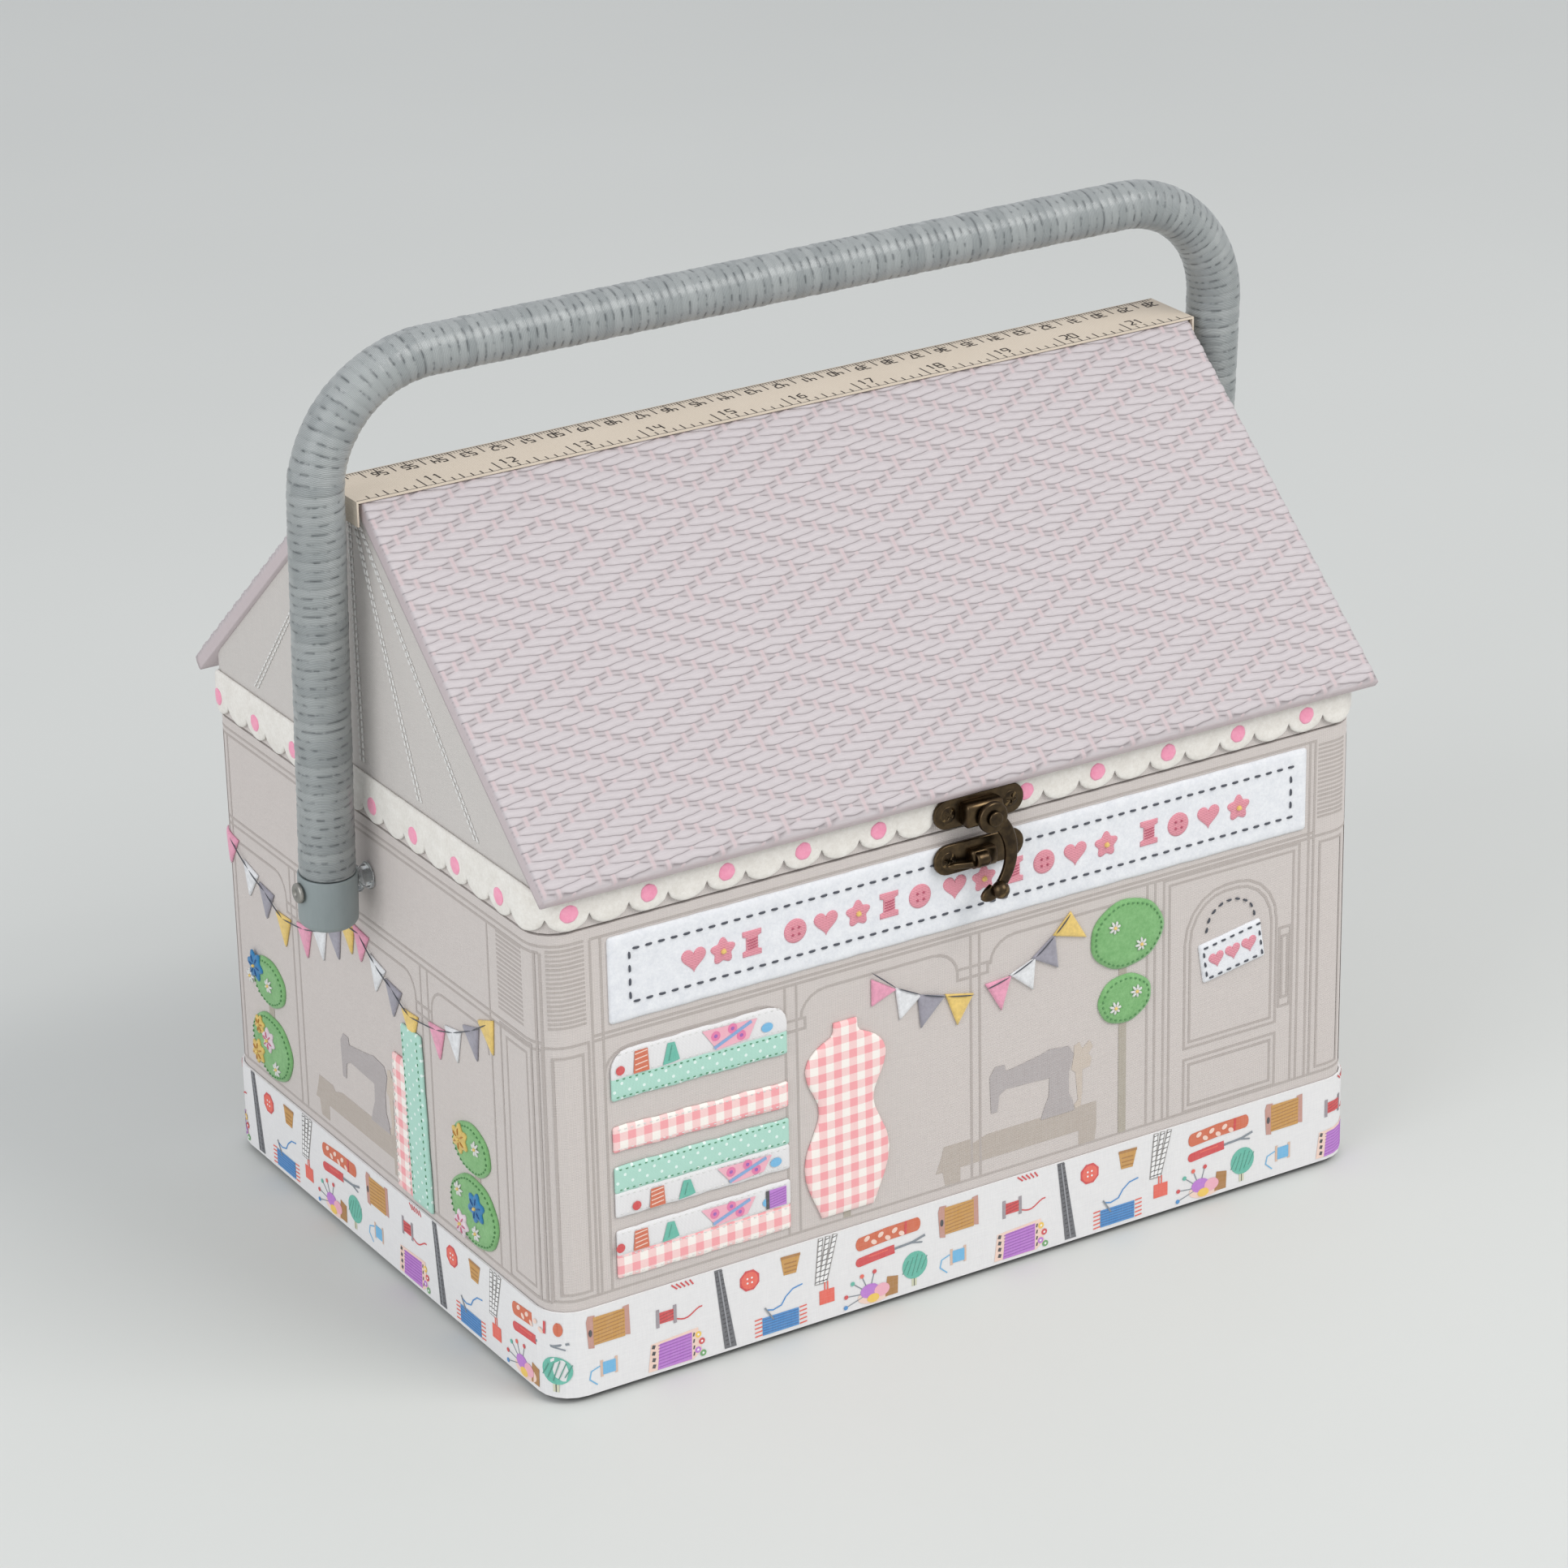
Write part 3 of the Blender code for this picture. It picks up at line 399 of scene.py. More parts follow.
class Outlines:
    """Flat coloured shapes that share one piece, each with a level: a higher level lies on a lower one."""

    STEP = 0.00005  # from one level to the next
    TURNS = 41  # shapes of one level are told apart by a sixtieth of a step, and start again after this many

    def __init__(self):
        self.shapes = []

    def patch(self, points, colour, level=0):
        points = np.asarray(points, float)
        x, z = points.T
        if (x * np.roll(z, -1) - np.roll(x, -1) * z).sum() < 0:
            points = points[::-1]
        self.shapes.append((points, colour, level))

    def disc(self, x, z, radius_x, radius_z, colour, level=0, turn=0.0, count=20):
        angles = np.arange(count) * math.tau / count
        a, b = radius_x * np.cos(angles), radius_z * np.sin(angles)
        c, s = math.cos(turn), math.sin(turn)
        self.patch(np.stack([x + a * c - b * s, z + a * s + b * c], 1), colour, level)

    def line(self, points, colour, width=0.6, level=0, closed=False):
        """A drawn line: a strip with mitred corners, in one four-sided shape for each stretch."""
        points = np.asarray(points, float)
        if closed:
            points = np.concatenate([points, points[:1]])
        steps = np.diff(points, axis=0)
        steps = steps / np.linalg.norm(steps, axis=1, keepdims=True)
        first, last = (steps[-1], steps[0]) if closed else (steps[0], steps[-1])
        before, after = np.concatenate([[first], steps]), np.concatenate([steps, [last]])
        middle = before + after
        middle = middle / np.linalg.norm(middle, axis=1, keepdims=True)
        reach = width / 2 / np.maximum((middle * before).sum(1), 0.35)
        across = np.stack([-middle[:, 1], middle[:, 0]], 1) * reach[:, None]
        left, right = points + across, points - across
        for a, b, c, d in zip(right[:-1], right[1:], left[1:], left[:-1]):
            self.patch([a, b, c, d], colour, level)

    def box(self, x0, x1, z0, z1, colour, level=0):
        self.patch([(x0, z0), (x1, z0), (x1, z1), (x0, z1)], colour, level)

    def frame(self, x0, x1, z0, z1, colour, width=0.6, level=0):
        self.line([(x0, z0), (x1, z0), (x1, z1), (x0, z1)], colour, width, level, closed=True)

    def make(self, name, finish, lift, body="box", wrap=around):
        """Cut at the corners, wrapped round the walls, and given a hair's thickness."""
        work = bmesh.new()
        dye = work.loops.layers.float_color.new("dye")
        for number, (points, colour, level) in enumerate(self.shapes):
            depth = (level + number % self.TURNS / 60) * self.STEP
            corners = [work.verts.new((x * MM, depth, z * MM)) for x, z in points]
            face = work.faces.new(corners)
            for loop in face.loops:
                loop[dye] = colour
        cuts = []
        for start in (FRONT_RUN, FRONT_RUN + QUARTER + END_RUN):
            cuts += list(start + QUARTER * np.linspace(0, 1, 6))
        for cut in (*cuts, *(-np.array(cuts))):
            everything = work.verts[:] + work.edges[:] + work.faces[:]
            bmesh.ops.bisect_plane(work, geom=everything, dist=1e-7, plane_co=(cut, 0, 0), plane_no=(1, 0, 0))
        mesh = bpy.data.meshes.new(name)
        work.to_mesh(mesh)
        work.free()
        way, depth, height = points_of(mesh).T
        x, y = wrap(way, lift + depth)
        move_points(mesh, np.stack([x, y, height], 1))
        obj = shown(name, mesh, finish)
        skin = obj.modifiers.new("skin", "SOLIDIFY")
        skin.thickness, skin.offset = 0.00004, 1
        return fitted(obj, body)


def ink_finish(name, threads=THREADS, depth=0.0001):
    """Ink that sinks into the weave below it, in the colour that each shape carries."""
    made = Finish(name, Roughness=0.9, Specular_IOR_Level=0.25)
    where, x, y, z = made.place()
    weave, slub = canvas_weave(made, x - y, z, where, threads)
    dye = made.carried("dye", "Color")
    made.colour(made.mix(weave * 0.12 + slub * 0.2 - 0.06, dye, (1, 1, 1, 1)))
    made.raise_by(weave + slub * 0.8, depth, 0.8)
    return made


LINE = tint(171, 161, 155)
INK_GREY = tint(168, 160, 159)
INK_TABLE = tint(176, 164, 153)
INK_WHEEL = tint(194, 180, 166)
INK_TRUNK = tint(166, 157, 142)
LINE_WIDE, LOUVRE_WIDE = 0.82, 0.7
FOOT, HEAD, TRANSOM = 33.4, 149.6, 116.8  # the heights of the façade's own sill, cornice and window heads
shop = Outlines()


def sewing_machine(x, z, facing=1):
    """An old treadle machine in flat ink on its table; x is the table's left end."""
    body = [
        (39, 7.8), (51.7, 7.8), (51, 11.3), (49.5, 14.3), (49.5, 21.3), (51.3, 27.3), (49.5, 30.5), (42.5, 31.3),
        (38.5, 30.3), (29.5, 28.8), (26, 28.3), (25.5, 30.6), (22, 30.8), (20, 27.8), (20.5, 15.3), (22.8, 15.3),
        (23.5, 20.8), (26.2, 22.3), (36.5, 21.8), (42.3, 21.5), (42, 15.3), (40, 10.8),
    ]
    wheel = [
        (50.5, 22), (52, 20.8), (53, 11), (51.5, 9.5), (52, 8.2), (54, 8.6), (54.6, 13), (54.6, 21), (57.5, 21.5),
        (58.2, 24), (57, 26), (58.6, 28), (57.3, 30.5), (54.6, 28.3), (53.5, 30.8), (51.5, 30), (51.5, 27),
    ]
    table = [
        (0, 0), (2, 5), (3, 8.6), (12.5, 8.6), (14, 7), (19, 8.6), (51, 8.6), (55, 8.6), (60, 8.6), (60, -0.4),
        (59.3, -5.4), (53.3, -5.4), (53.3, 0), (9, 0), (9, -5.4), (3.5, -5.4), (2.5, 0),
    ]
    for points, colour, level in ((table, INK_TABLE, 0), (wheel, INK_WHEEL, 1), (body, INK_GREY, 2)):
        shop.patch([(x + facing * a, z + b) for a, b in points], colour, level)


def arch(x0, x1, foot, top, easing=9.0, count=6):
    """A window's arched head: flat along the top and eased down at each end."""
    angles = np.linspace(math.pi, math.pi / 2, count)
    left = [(x0 + easing + easing * math.cos(a), foot + (top - foot) * math.sin(a)) for a in angles]
    return left + [(x0 + x1 - x, z) for x, z in reversed(left)]


def ruled(*points, closed=False):
    """A drawn line of the façade through those points."""
    shop.line(points, LINE, LINE_WIDE, closed=closed)


def louvre(x0, x1, z0, z1, pitch=1.45):
    """A block of close level lines."""
    for z in np.arange(z0 + 0.5, z1, pitch):
        shop.line([(x0, z), (x1, z)], LINE, LOUVRE_WIDE)


def shop_front(x):
    """The façade of one long wall, x being the way round of its middle."""
    for z in (HEAD, 118.4, TRANSOM):
        ruled((x - 131, z), (x + 131, z))
    ruled((x - 147, FOOT), (x + 72.8, FOOT))
    ruled((x + 125, FOOT), (x + 147, FOOT))
    for z in (HEAD, FOOT):
        ruled((x - 147, z), (x - 133, z))
    for left in (-131, -127.5, -65.5, -61.5, 0.8, 4, 66.5, 69.5, 128.5, 130.5):
        top = HEAD if abs(left) > 120 else TRANSOM
        ruled((x + left, FOOT), (x + left, top))
    louvre(x - 145, x - 133, 122.8, 148.7)
    louvre(x + 131.7, x + 142.5, 122.8, 148.7)
    for x0, x1, z0, z1 in (
        (-147, -132.5, FOOT, 117), (-144, -134.5, 35.5, 113.5), (130.5, 146, FOOT, 117), (133, 142, 35.5, 114.5),
        (-65.5, -58.5, 101.5, 105), (-4, 7, 102.5, 106), (63, 72, 102.5, 106),
        (72.8, 125, FOOT, 116), (75, 122.8, FOOT, 114), (81, 116.5, 33.8, 52), (83, 114.5, 35.8, 50),
        (117.8, 122, 61, 88.5), (118.8, 121, 64, 85.5),
    ):
        shop.frame(x + x0, x + x1, z0, z1, LINE, LINE_WIDE)
    ruled(*arch(x - 60, x - 4, 105, 113))
    ruled(*arch(x + 8, x + 66, 105, 113))
    ruled(*arch(x - 127.5, x - 66, 105, 112.5))
    for grow in (0, 2):
        low, high = 56 + grow, 109 - grow
        x0, x1 = x + 81 + grow, x + 116.5 - grow
        sides = [(x0, low)] + arch(x0, x1, 92, high, (x1 - x0) / 2 - 2) + [(x1, low)]
        ruled(*sides, closed=True)
    sewing_machine(x - 12.5, 38.7)
    shop.box(x + 55.8, x + 58.7, 33.6, 92, INK_TRUNK, 1)
    shop.box(x - 46.2, x - 43.6, 33.6, 39, INK_TRUNK, 1)


def shop_end(x, way):
    """The façade of one end wall; way is +1 where the back of the box lies to the left of its middle."""
    for z in (HEAD, 147.4, 118.4, 116.0, 32.8):
        ruled((x - 103, z), (x + 103, z))
    for y in (104, 100, 57, 53, -30.5, -35, -75, -101.5, -103.4, 96.5):
        top = 147.4 if abs(y) > 70 else 116
        ruled((x - way * y, 32.8), (x - way * y, top))
    for y0, y1, z0, z1 in (
        (60, 50, 99, 102.5), (-27, -37, 99, 102.5), (-81, -99, 33, 117), (-84.5, -96.5, 36, 113.5)
    ):
        shop.frame(*sorted((x - way * y0, x - way * y1)), z0, z1, LINE, LINE_WIDE)
    louvre(*sorted((x + way * 80.5, x + way * 95.5)), 121.5, 147)
    for y0, y1 in ((50, -27), (98, 60), (-37, -73)):
        ruled(*arch(*sorted((x - way * y0, x - way * y1)), 103, 111, 7))
    sewing_machine(x - way * 46.7, 39.9, way)
    for y in (75.9, -62.2):
        shop.box(*sorted((x - way * y - 1.9, x - way * y + 1.9)), 33, 60, INK_TRUNK, 1)


HALF_WAY = ROUND / MM / 2
END_MIDDLE = HALF_WAY / 2
shop_front(0)
shop_front(HALF_WAY)
shop_end(-END_MIDDLE, 1)
shop_end(END_MIDDLE, -1)
INK_LIFT = 0.00002
shop.make("shop_print", ink_finish("shop_ink"), INK_LIFT)

# The band round the foot: a white cotton printed with sewing notions, its top edge glued over the canvas. The
# print repeats every eighth part of the way round.

COTTON_WHITE = tint(240, 239, 238)
COTTON_THREADS, COTTON_DEPTH = 3200.0, 0.00006

band_cotton = canvas_finish("white_band_cotton", COTTON_WHITE, tint(219, 218, 219), COTTON_THREADS, COTTON_DEPTH)
dress(["print_band"], band_cotton)

NOTIONS_EVERY = ROUND / MM / 8
MUSTARD, MUSTARD_DARK, ROSE_WOOD = tint(196, 142, 52), tint(166, 112, 32), tint(190, 138, 124)
RED, CORAL, ZIP_GREY, ZIP_PALE = tint(206, 45, 48), tint(228, 88, 66), tint(86, 87, 92), tint(140, 141, 146)
BLUE, BLUE_DARK, TEAL, TEAL_DARK = tint(44, 134, 200), tint(24, 96, 160), tint(82, 178, 156), tint(52, 140, 120)
PURPLE, PURPLE_DARK, CARD = tint(184, 112, 204), tint(148, 78, 172), tint(238, 206, 190)
STEEL_INK, LIGHT_BLUE = tint(120, 128, 136), tint(98, 176, 220)
BLACK_INK, ORANGE = tint(40, 38, 42), tint(205, 92, 42)
LEAF, PETAL_YELLOW, PALE_PINK = tint(96, 160, 92), tint(238, 196, 72), tint(236, 170, 186)


def thread_on(sheet, x0, x1, z0, z1, dark, count=6, slant=0.8):
    """Slanting turns of thread drawn over a wound reel."""
    for z in np.linspace(z0 + 0.8, z1 - 0.8, count):
        sheet.line([(x0, z - slant / 2), (x1, z + slant / 2)], dark, 0.28, 3)


def curl(x, z, length, drop, colour, sheet, width=0.45, count=10):
    """A loose thread: a wave that dies away along its length."""
    share = np.linspace(0, 1, count)
    height = z + drop * np.sin(share * math.tau * 0.8) * (0.4 + 0.6 * share)
    sheet.line(np.stack([x + length * share, height], 1), colour, width, 1)


def notions(sheet, x):
    """One repeat of the print: a mustard reel, a red one, a zip, a button, a thimble, a blue reel, a tape, a
    needle case, a seam ripper, a pincushion, a balloon and a lilac reel on its card."""
    flange = [(x - 137.6, 26), (x - 137, 17), (x - 135, 16.6), (x - 134.6, 27.6), (x - 137, 27.8)]
    sheet.patch(flange, ROSE_WOOD, 1)
    sheet.patch([(x - 125, 27.6), (x - 124.6, 18), (x - 122.6, 17.6), (x - 122.8, 27.8)], ROSE_WOOD, 1)
    sheet.box(x - 135.2, x - 124.4, 17.6, 27, MUSTARD, 2)
    thread_on(sheet, x - 135, x - 124.6, 17.8, 26.8, MUSTARD_DARK, 7)
    sheet.disc(x - 136.3, 22, 0.6, 1.2, BLACK_INK, 3)
    sheet.box(x - 112.5, x - 107.5, 17.8, 21.6, RED, 2)
    thread_on(sheet, x - 112.4, x - 107.6, 17.8, 21.6, tint(160, 26, 32), 3)
    for side in (-113.6, -107.6):
        sheet.box(x + side, x + side + 1.1, 16.6, 22.8, tint(150, 140, 146), 2)
    curl(x - 107, 18, 9.5, -1.6, RED, sheet)
    for turn in range(5):
        sheet.line([(x - 108 + 1.6 * turn, 29.6), (x - 106 + 1.4 * turn, 27.8)], RED, 0.5, 1)
    sheet.patch([(x - 93, 29.9), (x - 90.4, 29.9), (x - 85.8, 2.2), (x - 90, 2.2)], ZIP_GREY, 1)
    sheet.line([(x - 91.6, 29.6), (x - 88, 2.6)], ZIP_PALE, 0.5, 3)
    for z in np.arange(3.5, 29.5, 1.5):
        middle = x - 91.6 + 3.6 * (29.6 - z) / 27
        sheet.line([(middle - 1.3, z), (middle + 1.3, z + 0.3)], BLACK_INK, 0.35, 2)
    angles = np.arange(8) * math.tau / 8 + 0.39
    sheet.patch(np.stack([x - 80.7 + 3.7 * np.cos(angles), 23 + 3.7 * np.sin(angles)], 1), RED, 1)
    sheet.disc(x - 80.7, 23, 2.9, 2.9, CORAL, 2)
    for a in (0.8, 2.4, 3.9, 5.5):
        sheet.disc(x - 80.7 + 1.1 * math.cos(a), 23 + 1.1 * math.sin(a), 0.35, 0.35, COTTON_WHITE, 3, 0, 8)
    sheet.patch([(x - 69.6, 27.2), (x - 68.6, 21), (x - 64.2, 20.8), (x - 62.6, 27)], MUSTARD, 1)
    sheet.line([(x - 69.6, 27), (x - 62.6, 26.8)], MUSTARD_DARK, 0.9, 2)
    for z in (22, 23.4, 24.8):
        sheet.line([(x - 68.4, z), (x - 64, z - 0.1)], MUSTARD_DARK, 0.3, 3)
    sheet.box(x - 76.5, x - 63.5, 2.6, 8.6, BLUE, 2)
    for z in np.linspace(3.4, 8, 6):
        sheet.line([(x - 76.3, z), (x - 63.7, z)], BLUE_DARK, 0.28, 3)
    for side in (-79.2, -63.2):
        for z in np.linspace(2.8, 8.4, 5):
            sheet.line([(x + side, z), (x + side + 2.6, z + 0.2)], CORAL, 0.45, 1)
    sheet.line([(x - 75.6, 12), (x - 72.6, 7.2)], STEEL_INK, 0.5, 4)
    tail = [(x - 75, 11), (x - 72.6, 10.4), (x - 69.6, 11.2), (x - 68, 13.6), (x - 65.4, 15.6), (x - 62, 16.2)]
    sheet.line(tail, BLUE, 0.45, 1)
    for lean in (-2.6, 0, 2.6):
        sheet.line([(x - 55.4 + lean / 2, 14), (x - 52.6 + lean, 29.8)], tint(150, 146, 142), 1.9, 1)
        sheet.line([(x - 55.4 + lean / 2, 14.4), (x - 52.6 + lean, 29.6)], COTTON_WHITE, 1.1, 2)
        for share in np.linspace(0.06, 0.94, 9):
            px, pz = x - 55.4 + lean / 2 + share * (2.8 + lean / 2), 14 + share * 15.8
            sheet.line([(px - 0.8, pz), (px + 0.8, pz + 0.3)], BLACK_INK, 0.25, 3)
    sheet.box(x - 56, x - 50.6, 6.8, 11.6, CORAL, 1)
    sheet.line([(x - 54, 11.6), (x - 54, 14.4)], CORAL, 0.5, 1)
    sheet.line([(x - 53, 11.6), (x - 53, 14.4)], CORAL, 0.5, 1)
    sheet.line([(x - 41, 23.4), (x - 31, 24.2), (x - 20.4, 24.4)], ORANGE, 4.6, 1)
    sheet.disc(x - 41, 23.4, 1.6, 2.3, ORANGE, 1)
    sheet.disc(x - 20.4, 24.4, 1.4, 2.3, ORANGE, 1)
    for number, px in enumerate(np.linspace(-38.6, -26, 6)):
        sheet.disc(x + px, 23.8 + 0.9 * (-1) ** number, 1.15, 0.8, CARD, 3, 0.6 * (-1) ** number, 10)
    sheet.line([(x - 24.6, 22.3), (x - 24.4, 26.5)], RED, 0.8, 3)
    sheet.line([(x - 41.4, 17.2), (x - 36, 17.7), (x - 28.6, 18.2)], RED, 3.1, 1)
    sheet.disc(x - 41.4, 17.2, 1.3, 1.5, RED, 1)
    sheet.line([(x - 28.6, 18.2), (x - 22, 18.6), (x - 17.4, 19.8)], STEEL_INK, 0.8, 2)
    sheet.line([(x - 22, 18.4), (x - 18.4, 17.6)], STEEL_INK, 0.5, 2)
    sheet.line([(x - 38, 18.2), (x - 31, 18.6)], CORAL, 0.4, 2)
    sheet.disc(x - 35.6, 4.6, 6.6, 2.9, CARD, 1)
    sheet.disc(x - 37.8, 6.4, 3.4, 2.4, PURPLE, 2)
    sheet.disc(x - 33.4, 5.6, 2.8, 2.2, PALE_PINK, 3)
    sheet.disc(x - 36.6, 3.6, 2.2, 1.5, PETAL_YELLOW, 3)
    sheet.patch([(x - 32.2, 2.6), (x - 31.4, 9.4), (x - 27.4, 8.6), (x - 27.6, 2.6)], MUSTARD_DARK, 1)
    heads = ((-46.4, 6.6, RED), (-44, 10.6, TEAL), (-40.6, 12.2, CORAL), (-46.6, 3, BLUE), (-36, 12.6, RED))
    for px, pz, head in heads:
        sheet.line([(x + px, pz), (x - 38, 5.6)], STEEL_INK, 0.3, 1)
        sheet.disc(x + px, pz, 0.75, 0.75, head, 3, 0, 10)
    sheet.disc(x - 21.2, 10.4, 4.6, 4.7, TEAL, 1)
    for turn in np.linspace(-1, 1, 5):
        points = [(x - 21.2 + turn * 3.4 + t, 10.4 + 3.2 * t * (1 - abs(turn) * 0.4)) for t in (-1.1, 0, 1.1)]
        sheet.line(points, TEAL_DARK, 0.3, 2)
    sheet.box(x - 22.4, x - 20.6, 3.2, 5.8, tint(206, 206, 176), 1)
    sheet.line([(x - 21.5, 3.2), (x - 21.5, 5.8)], BLACK_INK, 0.25, 2)
    sheet.box(x - 132.4, x - 128, 6.8, 11, LIGHT_BLUE, 2)
    for side in (-133.2, -128.2):
        sheet.box(x + side, x + side + 0.9, 6.2, 11.8, tint(214, 180, 158), 1)
    sheet.line([(x - 133.4, 10), (x - 136.4, 9), (x - 137, 6.4), (x - 134.4, 4)], LIGHT_BLUE, 0.4, 1)
    sheet.patch([(x - 116.8, 2.4), (x - 115.6, 11.6), (x - 99.2, 12.6), (x - 98, 4.4), (x - 101, 2.2)], CARD, 1)
    sheet.patch([(x - 113.6, 2.4), (x - 112.6, 11), (x - 101.4, 11.6), (x - 101.6, 2.4)], PURPLE, 2)
    for z in np.linspace(3.2, 10.6, 8):
        sheet.line([(x - 113.2, z), (x - 101.8, z + 0.6)], PURPLE_DARK, 0.28, 3)
    for z in np.linspace(3.4, 10, 4):
        sheet.line([(x - 115, z), (x - 114.6, z + 1.2)], BLACK_INK, 1.1, 2)
        sheet.line([(x - 100.9, z), (x - 100.6, z + 1.2)], BLACK_INK, 0.5, 2)
    for px, pz, tone in ((-99.2, 10.2, PETAL_YELLOW), (-98, 7.6, RED), (-99.4, 5, PURPLE), (-97.6, 3.4, LEAF)):
        sheet.disc(x + px, pz, 1.1, 1.1, tone, 2, 0, 9)
        sheet.disc(x + px, pz, 0.4, 0.4, COTTON_WHITE, 3, 0, 7)


band = Outlines()
for repeat in range(8):
    notions(band, repeat * NOTIONS_EVERY)
cotton_ink = ink_finish("notions_ink", COTTON_THREADS, COTTON_DEPTH)
band_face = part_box("print_band")[1].y - WALL_Y
band.make("notions_print", cotton_ink, band_face + INK_LIFT)

# Cloth and felt pieces on the front and the left end: each cut out, its edge turned or left raw, and sewn or
# glued on so that its middle stands a little proud.


def ring_patch(edge, spine, height, lift=0.0, rings=6, round_share=0.55):
    """A cut-out piece from its outline inwards: ring by ring the points slide from the edge to the nearest
    point of the spine, and rise as a quarter circle over the first part of the way. Gives way, height and
    stand-off of every point, and the faces."""
    edge, spine = np.asarray(edge, float), np.asarray(spine, float)
    count = len(edge)
    share = np.concatenate([[0, 0], np.linspace(0, 1, rings + 1)[1:] ** 1.4])
    flat = edge[None] * (1 - share[:, None, None]) + spine[None] * share[:, None, None]
    rise = np.sqrt(1 - (1 - np.clip(share / round_share, 0, 1)) ** 2) * 0.55 + 0.45
    rise[0] = 0.0
    stand = lift + height * rise[:, None] * np.ones((1, count))
    points = np.concatenate([flat, stand[..., None]], 2).reshape(-1, 3)
    return points, tube(len(share), count) + [list(range(count))[::-1]]


def gathered(shells):
    """The points and faces of several closed shells, one after another."""
    points, faces, start = [], [], 0
    for shell_points, shell_faces in shells:
        points.append(np.asarray(shell_points, float))
        faces += [[start + corner for corner in face] for face in shell_faces]
        start += len(shell_points)
    return np.concatenate(points), faces


def sew_on(name, shapes, finish, body="box", replaces=(), dyes=None, wrap=around):
    """Join several cut-out pieces into one object wrapped on the wall. Each keeps its flat place in
    millimetres as its UV, so that weave and print lie along it, and carries its own dye."""
    points, faces = gathered(shapes)
    x, y = wrap(points[:, 0] * MM, points[:, 2] * MM)
    obj = piece(name, np.stack([x, y, points[:, 1] * MM], 1), faces, finish)
    chart(obj, "cut", points[:, :2])
    if dyes:
        corners = [sum(len(face) for face in shape[1]) for shape in shapes]
        dye = obj.data.color_attributes.new("dye", "FLOAT_COLOR", "CORNER")
        dye.data.foreach_set("color", np.repeat(np.array(dyes, np.float32), corners, axis=0).ravel())
    return fitted(closed(obj), body, replaces)


def strip_edge(x0, x1, z0, z1, corners=(0.8, 0.8, 0.8, 0.8), slope=0.0, waver=0.22, count=30):
    """The outline of a folded strip: a rectangle with rounded corners, its long sides wavering a little, and
    the straight spine that it closes on. The corners go round from the lower right."""
    half_x, half_z = (x1 - x0) / 2, (z1 - z0) / 2
    x, z = [], []
    for quarter, (sx, sz) in enumerate(((1, -1), (1, 1), (-1, 1), (-1, -1))):
        radius = corners[quarter]
        turn = math.pi / 2 * (quarter - 1) + np.linspace(0, math.pi / 2, 5)
        x.append(sx * (half_x - radius) + radius * np.cos(turn))
        z.append(sz * (half_z - radius) + radius * np.sin(turn))
        if quarter % 2:
            reach = half_x - corners[(quarter + 1) % 4]
            x.append(np.linspace(sx * (half_x - radius), -sx * reach, count)[1:-1])
            z.append(np.full(count - 2, sz * half_z))
    x, z = np.concatenate(x), np.concatenate(z)
    z = z + waver * (0.6 * np.sin(x * 0.33 + z0) + 0.4 * np.sin(x * 0.9 + x0))
    middle = np.array([(x0 + x1) / 2, (z0 + z1) / 2])
    spine_x = np.clip(x, -half_x + half_z, half_x - half_z)
    edge = np.stack([x, z - slope * x], 1) + middle
    return edge, np.stack([spine_x, -slope * spine_x], 1) + middle


def upright(edge, spine):
    """The same strip stood on end."""
    return edge[::-1, ::-1], spine[::-1, ::-1]


def chart_threads(finish, pitch=2.8):
    """Plain weave along the piece's own flat place; pitch is in threads to a millimetre."""
    flat = finish.add("ShaderNodeUVMap", {"uv_map": "cut"})
    u = finish.add("ShaderNodeSeparateXYZ", None, {0: flat}, 0)
    v = finish.add("ShaderNodeSeparateXYZ", None, {0: flat}, 1)
    return flat, u, v, (u * pitch).wave() * 0.5 + (v * pitch).wave() * 0.5


CHECK = 5.5  # one pink and one cream stripe, in millimetres


def gingham_finish(name, pink, cream):
    """Checks where pink and cream stripes cross: full pink on pink, half where they differ."""
    made = Finish(name, Roughness=0.9, Specular_IOR_Level=0.25, Sheen_Weight=0.1)
    flat, u, v, weave = chart_threads(made)
    uneven = made.noise(made.stretch(flat, (6, 6, 6)), 1.0, 3.0) * 0.08
    across, down = ((u + uneven) / CHECK).part() < 0.5, ((v + uneven) / CHECK).part() < 0.5
    share = across * 0.45 + down * 0.45 + weave * 0.12 - 0.04
    made.colour(made.mix(share, cream, pink))
    made.raise_by(weave, 0.00007, 0.8)
    return made


def dotted_finish(name, ground, ground_dark, dot, every, radius):
    """A plain cotton printed with small dots in staggered rows."""
    made = Finish(name, Roughness=0.9, Specular_IOR_Level=0.25, Sheen_Weight=0.1)
    _, u, v, weave = chart_threads(made)
    row = (v / (every / 2)).whole()
    shifted = u / every + row * 0.5
    a = (shifted.part() - 0.5) * every
    b = ((v / (every / 2)).part() - 0.5) * (every / 2)
    spot = (a * a + b * b) < radius**2
    made.colour(made.mix(spot, made.mix(weave * 0.6, ground_dark, ground), dot))
    made.raise_by(weave, 0.00007, 0.8)
    return made


def plain_cotton(name, first, second):
    made = Finish(name, Roughness=0.9, Specular_IOR_Level=0.25, Sheen_Weight=0.1)
    *_, weave = chart_threads(made)
    made.colour(made.mix(weave, second, first))
    made.raise_by(weave, 0.00007, 0.8)
    return made


